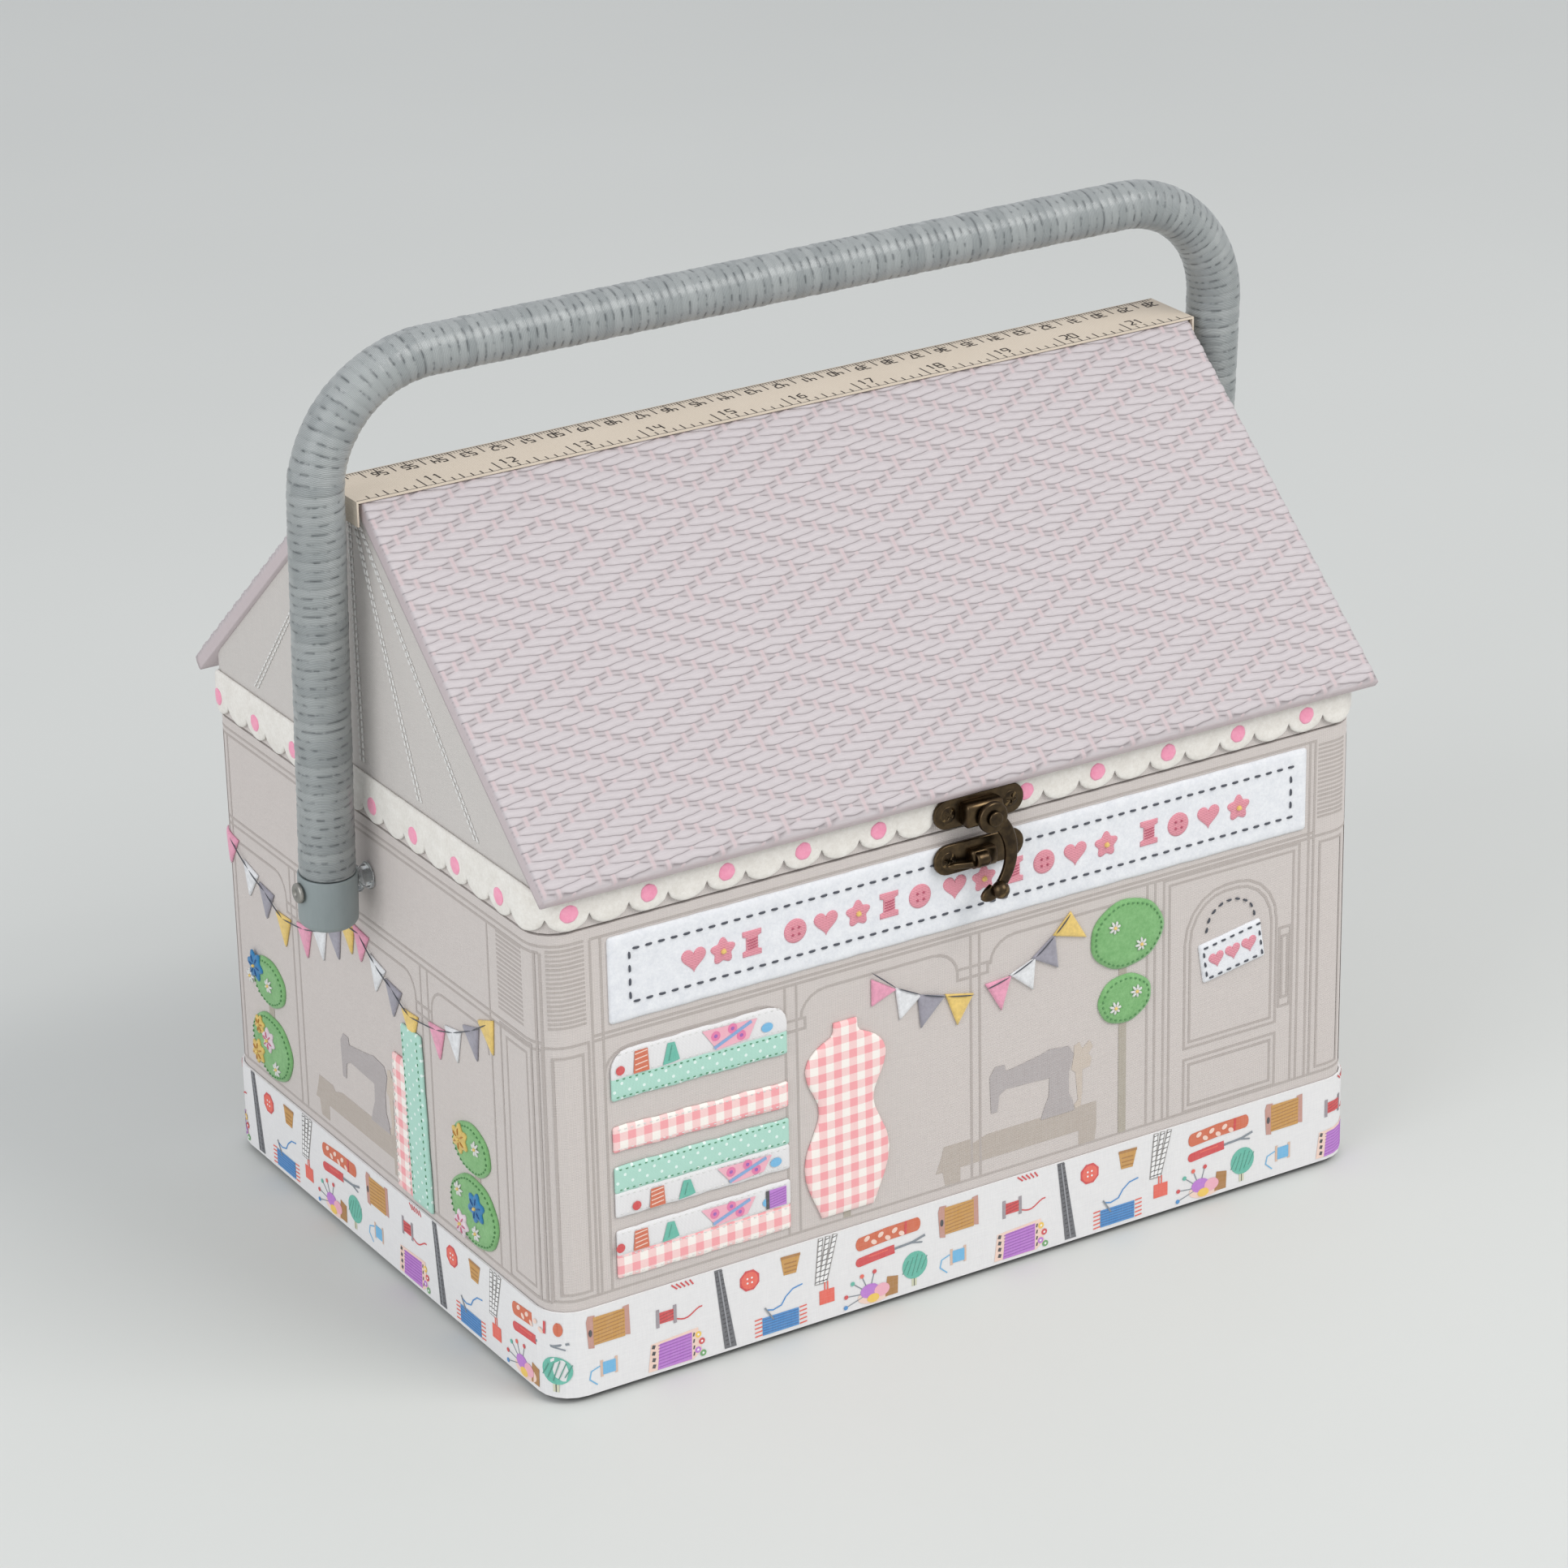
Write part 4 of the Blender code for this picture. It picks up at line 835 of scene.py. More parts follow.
def felt_finish(name, first=None, second=None):
    """Wool felt: matted fibres with no weave, as fine noise over a coarser one. With no colours it takes the
    dye that the piece carries."""
    made = Finish(name, Roughness=1.0, Specular_IOR_Level=0.15, Sheen_Weight=0.35, Sheen_Roughness=0.5)
    where, *_ = made.place()
    fibre = made.noise(made.stretch(where, (900, 900, 900)), 1.0, 4.0, 0.7)
    clump = made.noise(made.stretch(where, (240, 240, 240)), 1.0, 2.0)
    height = fibre * 0.6 + clump * 0.4
    if first is None:
        dye = made.carried("dye", "Color")
        first, second = dye, made.mix(0.32, dye, tint(70, 66, 64))
    made.colour(made.mix((height - 0.34) * 2.6, second, first))
    made.raise_by(height, 0.00025, 0.9)
    return made


PINK_CHECK, CREAM_CHECK = tint(244, 160, 166), tint(248, 243, 236)
MINT, MINT_DARK = tint(190, 228, 214), tint(170, 212, 197)
gingham = gingham_finish("pink_gingham_cotton", PINK_CHECK, CREAM_CHECK)
mint = dotted_finish("mint_dotted_cotton", MINT, MINT_DARK, tint(226, 242, 236), 5.0, 0.5)
notion_cotton = plain_cotton("white_printed_cotton", COTTON_WHITE, tint(216, 214, 216))
felt = felt_finish("dyed_felt")

PATCH_HIGH = 0.85
SHELF_LEFT, SHELF_RIGHT = -125.8, -65.4
SQUARE, ARCHED = (0.8, 0.8, 0.8, 0.8), (0.8, 6.0, 6.0, 0.8)  # the rounding of a folded cloth's corners


def strip(z0, z1, slope=0.0, corners=SQUARE, lift=0.25):
    """A folded cloth on the shelves."""
    return ring_patch(*strip_edge(SHELF_LEFT, SHELF_RIGHT, z0, z1, corners, slope), PATCH_HIGH, lift)


prints = [strip(102.6, 111.8, 0.0, ARCHED, 0.35), strip(57.0, 65.3, 0.012), strip(44.5, 53.0, 0.0, lift=0.35)]
sew_on("cloth_print_strips", prints, notion_cotton,
       replaces=["folded_cloth_arched", "folded_cloth_print"])
sew_on("cloth_gingham_strips", [strip(78.2, 86.6, 0.026), strip(36.6, 45.0, 0.012)], gingham,
       replaces=["folded_cloth_gingham"])
sew_on("cloth_mint_strips", [strip(95.6, 103.4, 0.012), strip(65.2, 73.9, 0.008, lift=0.3)], mint,
       replaces=["folded_cloth_mint"])

small = Outlines()
for z0, scale, shift in ((103.4, 1.0, 0.0), (57.8, 0.86, 4.0), (45.2, 0.9, -2.0)):
    high = z0 + 7.2 * scale
    button, spool, cone, fan = -123.0 + shift, -118.0 + shift, -106.6 + shift, -90.0 + shift
    small.disc(button, z0 + 2.2, 1.5, 1.5, RED, 1)
    small.patch([(spool - 0.6, z0), (spool, high), (spool + 4.4, high), (spool + 4.8, z0)], ORANGE, 1)
    for z in np.linspace(z0 + 1, high - 1, 4):
        small.line([(spool, z), (spool + 4.2, z + 0.5)], CARD, 0.35, 2)
    small.patch([(cone - 2, z0), (cone - 0.2, high - 0.4), (cone + 2.2, high - 0.6), (cone + 3.8, z0 + 0.6),
                 (cone + 1.6, z0 + 0.2)], TEAL, 1)
    small.line([(cone, z0 + 1), (cone + 1.2, high - 1.4)], TEAL_DARK, 0.35, 2)
    small.patch([(fan - 5, high), (fan, z0), (fan + 11, z0 + 0.8), (fan + 14, high - 0.6)], PALE_PINK, 1)
    for px, pz in ((-0.4, 4.6), (5.4, 5.6), (8.4, 2.6)):
        small.disc(fan + px, z0 + pz * scale, 1.6, 1.6, tint(224, 108, 160), 2)
        small.disc(fan + px, z0 + pz * scale, 0.6, 0.6, PURPLE_DARK, 3, 0, 8)
    small.line([(fan - 1, z0 + 0.8), (fan + 12, high - 1)], tint(120, 160, 208), 1.1, 3)
    small.disc(-72.6 + shift / 2, z0 + 2.6, 2.0, 1.5, LIGHT_BLUE, 1)
small.box(-73.2, -67.2, 45.4, 51.6, PURPLE, 2)
thread_on(small, -73, -67.4, 45.4, 51.4, PURPLE_DARK, 6)
small.box(-74.4, -73.2, 45.4, 51.6, BLACK_INK, 2)
small.make("cloth_notions", cotton_ink, 0.00132)

FORM_X, FORM_FOOT = -44.8, 36.1
FORM = np.array([  # the dress form's half width at each height above its foot
    (0.0, 9.3), (4.6, 11.2), (9.2, 13.2), (14, 14.7), (18.5, 15.1), (23.2, 14.3), (28, 12.2), (32.6, 10.2),
    (35.4, 9.6), (38.6, 9.9), (42, 11.4), (46, 13.4), (50.5, 14.4), (53.6, 13.6), (56.4, 11.6), (58.4, 8.2),
    (59.8, 5.2), (61, 4.3), (64.4, 4.1),
])
rise = np.linspace(0, FORM[-1, 0], 44)
wide = np.interp(rise, *FORM.T)
right = np.stack([FORM_X + wide, FORM_FOOT + rise], 1)
left = np.stack([FORM_X - wide[::-1], FORM_FOOT + rise[::-1]], 1)
across = np.linspace(-1, 1, 9)[1:-1]
top_edge = np.stack([FORM_X - across * wide[-1], np.full(7, right[-1, 1])], 1)
low_edge = np.stack([FORM_X + across * wide[0], np.full(7, right[0, 1])], 1)
form_edge = np.concatenate([low_edge, right, top_edge, left])
form_spine = np.stack([np.full(len(form_edge), FORM_X), np.clip(form_edge[:, 1], 44, 97)], 1)
sew_on("dress_form_cloth", [ring_patch(form_edge, form_spine, 1.3, 0.1, 9, 0.45)], gingham,
       replaces=["dress_form"])


LEFT_END = -250.2  # the way round to the middle of the left end


def oval(x, z, radius_x, radius_z, count=44, waver=0.012):
    """A rounded shape cut by hand, and its middle."""
    turn = np.arange(count) * math.tau / count
    uneven = 1 + waver * (np.sin(3 * turn + x) + np.sin(7 * turn + z))
    edge = np.stack([x + radius_x * uneven * np.cos(turn), z + radius_z * uneven * np.sin(turn)], 1)
    return edge, np.tile([x, z], (count, 1))


FELT_GREEN, FELT_GREEN_DEEP = tint(140, 190, 130), tint(112, 166, 104)
green = felt_finish("green_wool_felt", FELT_GREEN, FELT_GREEN_DEEP)
FRONT_SHRUBS = ((58.6, 102.3, 13.7, 11.6), (57.8, 80.2, 10.0, 8.3))
END_SHRUBS = (
    (-326.0, 68.2, 11.2, 8.4), (-326.4, 45.0, 13.8, 11.4), (-190.6, 66.2, 11.6, 8.4), (-190.4, 45.0, 15.0, 11.6),
)
sew_on("shop_shrubs", [ring_patch(*oval(*s), 1.15, 0.0, 6, 0.3) for s in FRONT_SHRUBS], green,
       replaces=["shrub_upper", "shrub_lower"])
sew_on("end_shrubs", [ring_patch(*oval(*s), 1.15, 0.0, 6, 0.3) for s in END_SHRUBS], green,
       replaces=[f"end_shrub_{place}_{word}" for place in ("back", "front") for word in ("upper", "lower")])

ROSE, ASH, SUNNY, SNOW = tint(246, 170, 196), tint(166, 163, 174), tint(246, 212, 124), tint(242, 243, 245)


def pennant(base_a, base_b, tip, count=8):
    """A three-cornered flag, its sides slightly bowed."""
    corners = np.array([base_a, base_b, tip], float)
    share = np.arange(count)[:, None] / count
    sides = [corners[i] * (1 - share) + corners[(i + 1) % 3] * share for i in range(3)]
    edge = np.concatenate(sides)
    middle = corners.mean(0)
    return edge, np.tile(middle, (len(edge), 1))


FRONT_FLAGS = (
    ((-35.2, 111.4), (-26.2, 105.8), (-35.2, 102.4)), ((-26.8, 106.6), (-17.4, 101.4), (-25.2, 95.2)),
    ((-18.8, 102), (-8.6, 99), (-17.6, 90.4)), ((-8.8, 99.4), (1.6, 97), (-4.4, 87.8)),
    ((5.8, 98.8), (15.4, 99.2), (11.8, 88.4)), ((14.8, 99.6), (24.4, 103.2), (23.4, 92.4)),
    ((23.0, 103), (31.6, 109.2), (32.8, 97.4)), ((30.8, 108.6), (37.4, 115.2), (43.4, 105.0)),
)
END_FLAGS = (  # distance towards the back from the wall's middle, height and lean
    (98, 108, -8), (85, 101, -12), (74, 97.5, -6), (62, 92.5, 2), (47, 94.5, 6), (36, 98, 10), (25.5, 102.5, 14),
    (16, 108, 12), (8, 108, -6), (-2, 101.5, -12), (-12.5, 97.5, -6), (-23.5, 92.5, 4), (-41, 95, 6),
    (-52, 98.5, 10), (-64, 104, 16), (-74, 110, 20),
)


def leaning_flag(y, z, lean):
    """The corners of one flag on the left end."""
    c, s = math.cos(math.radians(lean)), math.sin(math.radians(lean))
    corners = ((-5.2, 4.6), (5.2, 4.6), (0.4, -6.2))
    return [(LEFT_END - y + a * c - b * s, z + a * s + b * c) for a, b in corners]


flag_dyes = [ROSE, SNOW, ASH, SUNNY] * 4
for name, flags in (("shop_bunting", FRONT_FLAGS), ("end_bunting", [leaning_flag(*flag) for flag in END_FLAGS])):
    patches = [ring_patch(*pennant(*flag), 0.9, 0.15, 4, 0.4) for flag in flags]
    sew_on(name, patches, felt, dyes=flag_dyes[:len(flags)])

bolt = upright(*strip_edge(32.6, 79, -239.9, -229.4, waver=0.15))
sew_on("end_gingham_bolt", [ring_patch(*bolt, 1.2, 0.2)], gingham)
bolt = upright(*strip_edge(32, 91.6, -231.6, -218.8, slope=0.045, waver=0.15))
sew_on("end_mint_bolt", [ring_patch(*bolt, 1.2, 0.35)], mint)

# Stitching: running stitches, petals and knots in stranded cotton, each a short rounded bar that rises in its
# middle and dives at both ends.


def evenly(points, pitch, closed=False):
    """Points and directions at an even pitch along a path of straight stretches."""
    points = np.asarray(points, float)
    if closed:
        points = np.concatenate([points, points[:1]])
    steps = np.diff(points, axis=0)
    runs = np.hypot(*steps.T)
    ends = np.concatenate([[0], np.cumsum(runs)])
    count = max(1, round(ends[-1] / pitch))
    at = (np.arange(count) + 0.5) * ends[-1] / count
    which = np.clip(np.searchsorted(ends, at, side="right") - 1, 0, len(runs) - 1)
    share = ((at - ends[which]) / runs[which])[:, None]
    spots = points[which] * (1 - share) + points[which + 1] * share
    return spots, np.arctan2(steps[which, 1], steps[which, 0])


def bars(spots, turns, length, width, lift, high=0.35):
    """Rounded bars of thread: round each ring, the width follows the square root of one minus the fourth power
    of the way along, and the middle of the bar rises by a parabola."""
    spots = np.asarray(spots, float).reshape(-1, 2)
    turns = np.broadcast_to(np.asarray(turns, float), len(spots))
    length = np.broadcast_to(np.asarray(length, float), len(spots))
    along, ring = np.linspace(-1, 1, 6), np.arange(6) * math.tau / 6
    girth = np.sqrt(1 - along**4)[:, None]
    a = np.repeat(along[:, None], 6, 1)
    across = girth * np.cos(ring) * width / 2
    stand = lift + girth * np.sin(ring) * width / 2 + high * (1 - along[:, None] ** 2)
    long_way = a[None] * length[:, None, None] / 2
    c, s = np.cos(turns)[:, None, None], np.sin(turns)[:, None, None]
    way = spots[:, 0, None, None] + long_way * c - across[None] * s
    height = spots[:, 1, None, None] + long_way * s + across[None] * c
    points = np.stack([way, height, np.broadcast_to(stand, way.shape)], -1).reshape(-1, 3)
    faces = (np.array(tube(6, 6))[None] + (np.arange(len(spots)) * 36)[:, None, None]).reshape(-1, 4)
    return points, faces.tolist()


def thread_finish(name):
    """Stranded cotton in the dye that each stitch carries, with a soft shine and fine strands."""
    made = Finish(name, Roughness=0.55, Specular_IOR_Level=0.4, Sheen_Weight=0.2)
    _, x, y, z = made.place()
    strand = ((x + y + z * 0.7) * 3600).wave()
    dye = made.carried("dye", "Color")
    made.colour(made.mix(strand * 0.35, dye, made.mix(0.5, dye, tint(60, 56, 56))))
    made.raise_by(strand, 0.00008, 0.7)
    return made


threads = thread_finish("stranded_cotton")
THREAD_BLACK, THREAD_WHITE = tint(74, 78, 88), tint(236, 236, 232)
THREAD_GREEN, THREAD_LEAF = tint(84, 150, 110), tint(88, 150, 88)
stitched, stitch_dyes = [], []


def sew(spots, turns, length, width, lift, dye, high=0.25):
    """Stitches of one size and dye, kept until the piece is gathered."""
    stitched.append(bars(spots, turns, length, width, lift, high))
    stitch_dyes.append(dye)


def running(points, pitch, dye, width=0.7, lift=1.0, closed=False, share=0.56, high=0.25):
    spots, turns = evenly(points, pitch, closed)
    wobble = 0.05 * np.sin(np.arange(len(spots)) * 2.3)
    sew(spots, turns + wobble, pitch * share, width, lift, dye, high)


def hung_cord(points, reach_share, high):
    """One long stitch from each point to the next, as the cord that flags hang from."""
    for a, b in zip(points, points[1:]):
        middle, reach = (np.array(a) + b) / 2, np.subtract(b, a)
        turn = math.atan2(reach[1], reach[0])
        sew([middle], turn, math.hypot(*reach) * reach_share, 0.42, 1.0, THREAD_BLACK, high)


def sewn(name, body="box", wrap=around):
    """Gather the stitches made so far into one piece."""
    sew_on(name, list(stitched), threads, body, dyes=list(stitch_dyes), wrap=wrap)
    stitched.clear()
    stitch_dyes.clear()


def daisy(x, z, lift=1.2, reach=2.0, petals=7, turn=0.0):
    """White petals round a yellow knot."""
    angles = turn + np.arange(petals) * math.tau / petals
    spots = np.stack([x + reach * 0.62 * np.cos(angles), z + reach * 0.62 * np.sin(angles)], 1)
    sew(spots, angles, reach * 1.1, 0.85, lift, THREAD_WHITE, 0.3)
    sew([(x, z)], 0.4, 1.3, 1.1, lift + 0.35, SUNNY, 0.2)


for z0, z1, slope, dye in (
    (96.6, 102.2, 0.012, THREAD_GREEN), (66.2, 72.9, 0.008, THREAD_GREEN), (79.2, 85.6, 0.026, THREAD_WHITE),
    (37.6, 44.0, 0.012, THREAD_WHITE), (58.2, 64.2, 0.012, THREAD_WHITE), (45.6, 52.0, 0.0, THREAD_WHITE),
):
    half = (125 - 66.2) / 2
    for z in (z0, z1):
        running([(-125, z + slope * half), (-66.2, z - slope * half)], 2.2, dye, 0.42, 0.85)
for z in (103.7, 110.8):
    running([(-124, z), (-67.4, z)], 2.2, THREAD_WHITE, 0.42, 0.85)
for x, z, rx, rz in FRONT_SHRUBS:
    running(oval(x, z, rx - 1.3, rz - 1.3)[0], 1.9, THREAD_LEAF, 0.5, 1.0, True)
for x, z, turn in ((53.3, 105.8, 0.2), (63.3, 97.8, 0.6), (53.7, 78.2, 0.1), (61.7, 82, 0.4)):
    daisy(x, z, turn=turn)
for cord in (((-35.8, 114.2), (-26.5, 106.4), (-17.6, 101.8), (-8.6, 98.8), (1.8, 96.6)),
             ((5.6, 97.2), (15, 99.4), (24, 103.2), (31.4, 109), (37.2, 114.8))):
    hung_cord(cord, 0.98, 0.25)
sewn("shop_stitches")

hung_cord([(LEFT_END - y, z + 3.6) for y, z, _ in END_FLAGS], 1.0, 0.2)
for x, z, rx, rz in END_SHRUBS:
    running(oval(x, z, rx - 1.3, rz - 1.3)[0], 1.9, THREAD_LEAF, 0.5, 1.0, True)
for y, z in ((74.7, 67.6), (87.5, 66.4), (-63.6, 68.0), (-61.7, 38.6), (72.4, 38.6), (-51.4, 49.5)):
    daisy(LEFT_END - y, z, reach=2.3)
for x0, x1, z0, z1, lean in ((-238.4, -230.8, 34, 77.6, 0.0), (-229.8, -220.6, 34, 90, 0.045)):
    for x in (x0, x1):
        dye = THREAD_WHITE if lean == 0 else THREAD_GREEN
        running([(x + lean * 28, z0), (x - lean * 28, z1)], 2.3, dye, 0.42, 1.3)
sewn("end_stitches")


def bloom(x, z, radius, petals=6, turn=0.0, count=48):
    """A cut-out flower: the radius swells once for each petal."""
    angles = np.arange(count) * math.tau / count
    reach = radius * (0.84 + 0.16 * np.cos(petals * (angles - turn)))
    edge = np.stack([x + reach * np.cos(angles), z + reach * np.sin(angles)], 1)
    return edge, np.tile([x, z], (count, 1))


BLOOM_BLUE, BLOOM_PALE, BLOOM_GOLD = tint(52, 134, 190), tint(240, 222, 230), tint(232, 200, 112)
BLOOM_HEARTS = {BLOOM_BLUE: tint(28, 96, 160), BLOOM_PALE: tint(226, 120, 150), BLOOM_GOLD: tint(200, 140, 60)}
BLOOMS = (
    (83.7, 71.4, 5.4, BLOOM_BLUE), (77.2, 47.2, 4.4, BLOOM_PALE), (85.2, 40.2, 4.6, BLOOM_GOLD),
    (83.0, 50.6, 3.6, BLOOM_GOLD), (-53.9, 67.6, 5.2, BLOOM_GOLD), (-62.5, 47.6, 5.4, BLOOM_BLUE),
    (-52.5, 38.2, 4.6, BLOOM_PALE),
)
sew_on("end_blooms", [ring_patch(*bloom(LEFT_END - y, z, r, turn=y), 0.8, 1.1, 5, 0.6) for y, z, r, _ in BLOOMS],
       felt, dyes=[dye for *_, dye in BLOOMS])
for y, z, r, dye in BLOOMS:
    way = LEFT_END - y
    angles = y + np.arange(6) * math.tau / 6
    spots = np.stack([way + r * 0.45 * np.cos(angles), z + r * 0.45 * np.sin(angles)], 1)
    sew(spots, angles, r * 0.5, 0.45, 1.95, BLOOM_HEARTS[dye], 0.15)
    sew([(way, z)], 0.3, 1.5, 1.2, 2.0, SUNNY, 0.2)
sewn("bloom_stitches")

# The sign: a bar of white felt over the windows, edged in black running stitch. A row of pink satin-stitched
# hearts, flowers, reels and buttons runs along it. A small tilted one of the same felt hangs on the door.

white_felt = felt_finish("white_wool_felt", tint(238, 239, 241), tint(218, 220, 225))
sign = strip_edge(-125.5, 126.6, 120.8, 148.6, (1.2, 1.2, 1.2, 1.2), 0.0, 0.12, 60)
sew_on("sign_felt_bar", [ring_patch(*sign, 1.05, 0.0, 8, 0.12)], white_felt,
       replaces=["sign_panel"])


def satin_finish(name, first, second):
    """Satin stitch: threads laid side by side on a slant."""
    made = Finish(name, Roughness=0.5, Specular_IOR_Level=0.4, Sheen_Weight=0.2)
    _, u, v, _ = chart_threads(made)
    lay = ((u * 0.5 + v) * 1.9).wave()
    made.colour(made.mix(lay * 0.8, second, first))
    made.raise_by(lay, 0.00016, 0.9)
    return made


satin = satin_finish("pink_satin_stitch", tint(242, 170, 182), tint(226, 138, 154))


def heart(x, z, size, count=40):
    """A heart: the cube of the sine across, and four cosines up."""
    turn = np.arange(count) * math.tau / count
    a = np.sin(turn) ** 3
    b = (13 * np.cos(turn) - 5 * np.cos(2 * turn) - 2 * np.cos(3 * turn) - np.cos(4 * turn)) / 16 + 0.1
    edge = np.stack([x + a * size, z + b * size], 1)
    return edge, np.tile([x, z], (count, 1))


def reel(x, z, size):
    """A cotton reel from the side: two flanges and a wound waist."""
    a = np.array([-0.8, 0.8, 0.8, 0.5, 0.5, 0.8, 0.8, -0.8, -0.8, -0.5, -0.5, -0.8])
    b = np.array([-1, -1, -0.6, -0.5, 0.5, 0.6, 1, 1, 0.6, 0.5, -0.5, -0.6])
    edge = np.stack([x + a * size, z + b * size], 1)
    return edge, np.stack([np.full(12, x), np.clip(edge[:, 1], z - 0.7 * size, z + 0.7 * size)], 1)


SIGN_MIDDLE = 134.8
GROUPS = ((-97, -87, -77), (-62, -51.3, -40, -29, -18), (-5.5, 5, 16, 27, 38.5, 50), (66, 77, 88.5, 100))
THREAD_RASPBERRY = tint(196, 92, 116)
emblems = []
sign_seam = [(-118.6, 126.6), (120.2, 126.6), (120.2, 143.6), (-118.6, 143.6)]
running(sign_seam, 4.3, THREAD_BLACK, 0.85, 1.0, True, 0.62)
for number, x in enumerate(x for group in GROUPS for x in group):
    shape = number % 4
    if shape == 0:
        emblems.append(heart(x, SIGN_MIDDLE - 0.2, 4.2))
    elif shape == 1:
        emblems.append(bloom(x, SIGN_MIDDLE, 4.4, 5, math.pi / 2))
        sew([(x, SIGN_MIDDLE)], 0.3, 1.9, 1.7, 1.5, tint(246, 208, 120), 0.15)
    elif shape == 2:
        emblems.append(reel(x, SIGN_MIDDLE, 4.1))
        for b in (-1.4, -0.5, 0.4, 1.3):
            sew([(x, SIGN_MIDDLE + b)], 0.12, 4.2, 0.35, 1.5, THREAD_RASPBERRY, 0.1)
    else:
        emblems.append(oval(x, SIGN_MIDDLE, 3.9, 3.9, 32, 0.0))
        for a, b in ((-1.1, -1.1), (1.1, -1.1), (1.1, 1.1), (-1.1, 1.1)):
            sew([(x + a, SIGN_MIDDLE + b)], 0.8, 0.9, 0.8, 1.5, THREAD_RASPBERRY, 0.1)
sew_on("sign_emblems", [ring_patch(*shape, 0.55, 0.95, 4, 0.5) for shape in emblems], satin)
sewn("sign_stitches")

door_low, door_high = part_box("door_sign")
DOOR = np.array([(door_low.x + door_high.x) / 2, (door_low.z + door_high.z) / 2]) / MM
TILT = math.radians(9)


def on_door(points):
    """Turned with the little sign that hangs on the door."""
    turn = np.array([[math.cos(TILT), math.sin(TILT)], [-math.sin(TILT), math.cos(TILT)]])
    return np.asarray(points, float) @ turn + DOOR


hung = strip_edge(-12, 12, -6.8, 6.8, SQUARE, 0, 0.06, 16)
sew_on("door_sign_felt", [ring_patch(on_door(hung[0]), on_door(hung[1]), 1.05, 0, 6, 0.2)], white_felt,
       replaces=["door_sign"])
hearts = []
for x in (-6.4, 0, 6.4):
    edge, spine = heart(0, 0, 2.9)
    hearts.append(ring_patch(on_door(edge + [x, 0]), on_door(spine + [x, 0]), 0.5, 0.95, 4, 0.5))
sew_on("door_sign_hearts", hearts, satin)
door_seam = [(-10.8, -5.4), (10.8, -5.4), (10.8, 5.4), (-10.8, 5.4)]
running(on_door(door_seam), 3.4, THREAD_BLACK, 0.75, 1.0, True, 0.6)
hanging = np.linspace(math.pi, 0, 12)
over_knob = np.stack([98.5 + 9.4 * np.cos(hanging) * 0.98, 95.5 + 8 * np.sin(hanging)], 1)
loop = [(88.6, 93.6), *over_knob, (107.4, 95)]
running(loop, 3.2, THREAD_BLACK, 0.75, 0.1, False, 0.66)
sewn("door_stitches")

# The lid's rim, and the felt trim round it: one long strip of cream felt, straight along the top and cut into
# half-round scallops below, with a pink felt spot on every second scallop.

cream_felt = felt_finish("cream_wool_felt", tint(240, 237, 231), tint(220, 215, 207))
dress(["lid_rim"], canvas)

rim_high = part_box("lid_rim")[1]
trim_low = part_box("scalloped_trim")[0]
TRIM_GAP, TRIM_THICK = 0.0003, 0.0011
SCALLOPS, PER_SCALLOP = 76, 12
SCALLOP_LONG = ROUND / MM / SCALLOPS
FIRST_SPOT = -111.5
SCALLOP_FROM = FIRST_SPOT - SCALLOP_LONG / 2


def felt_trim():
    """Across the strip: up the outer face, over the top and down the back. Along it: the lower edge follows
    half circles, and the outer face is fullest in its middle and thin at the cut edges."""
    count = SCALLOPS * PER_SCALLOP
    share = np.arange(count) / PER_SCALLOP
    way = (SCALLOP_FROM + share * SCALLOP_LONG) * MM
    arch = np.sqrt(np.maximum(np.sin(np.pi * (share % 1)), 0))
    low = trim_low.z + 0.0042 * (1 - arch)
    x, y = around(way, 0.0)
    up = np.clip((WALL_Y - 0.001 - np.abs(y)) / 0.008, 0, 1)
    high = rim_high.z - 0.0006 + 0.0028 * up * up * (3 - 2 * up)
    across = np.array([0, 0, 0.05, 0.16, 0.4, 0.7, 0.93, 1, 1, 0.7, 0.3])
    stand = np.array([0.1, 0.62, 0.9, 1.0, 1.0, 1.0, 0.86, 0.5, 0.0, 0.0, 0.0])
    height = low + (high - low) * across[:, None]
    wave = 0.00012 * np.sin(way * 410) * across[:, None]
    lift = TRIM_GAP + TRIM_THICK * stand[:, None] + wave * (stand[:, None] > 0.2)
    x, y = around(np.broadcast_to(way, height.shape), lift)
    return np.stack([x, y, height], -1).reshape(-1, 3), tube(len(across), count, ring=True)


fitted(piece("felt_trim", *felt_trim(), cream_felt), "lid", ["scalloped_trim"])

pink_felt = felt_finish("pink_wool_felt", tint(248, 172, 196), tint(238, 146, 176))
SPOT_HEIGHT, SPOT_RADIUS = 159.9, 2.75
spot_lift = (TRIM_GAP + TRIM_THICK) / MM - 0.1
spots = [oval(FIRST_SPOT + SCALLOP_LONG * 2 * k, SPOT_HEIGHT, SPOT_RADIUS, SPOT_RADIUS, 24, 0.02)
         for k in range(SCALLOPS // 2)]
spot_patches = [ring_patch(*spot, 0.45, spot_lift, 4, 0.5) for spot in spots]
sew_on("trim_spots", spot_patches, pink_felt, "lid")

# The gables: board in the same grey canvas, quilted by double rows of white stitching that fan out from the
# ridge to the eaves.

gable_cloth = canvas_finish("gable_canvas", tint(210, 205, 200), tint(194, 189, 185))
dress(["gable_left", "gable_right"], gable_cloth)
GABLE_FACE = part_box("gable_right")[1].x


def on_gables(way, stand):
    """Way as distance along one end wall, with 1 metre added for the right-hand one."""
    right = way > 0.5
    return np.where(right, 1.0, -1.0) * (GABLE_FACE + stand), np.where(right, way - 1.0, way)


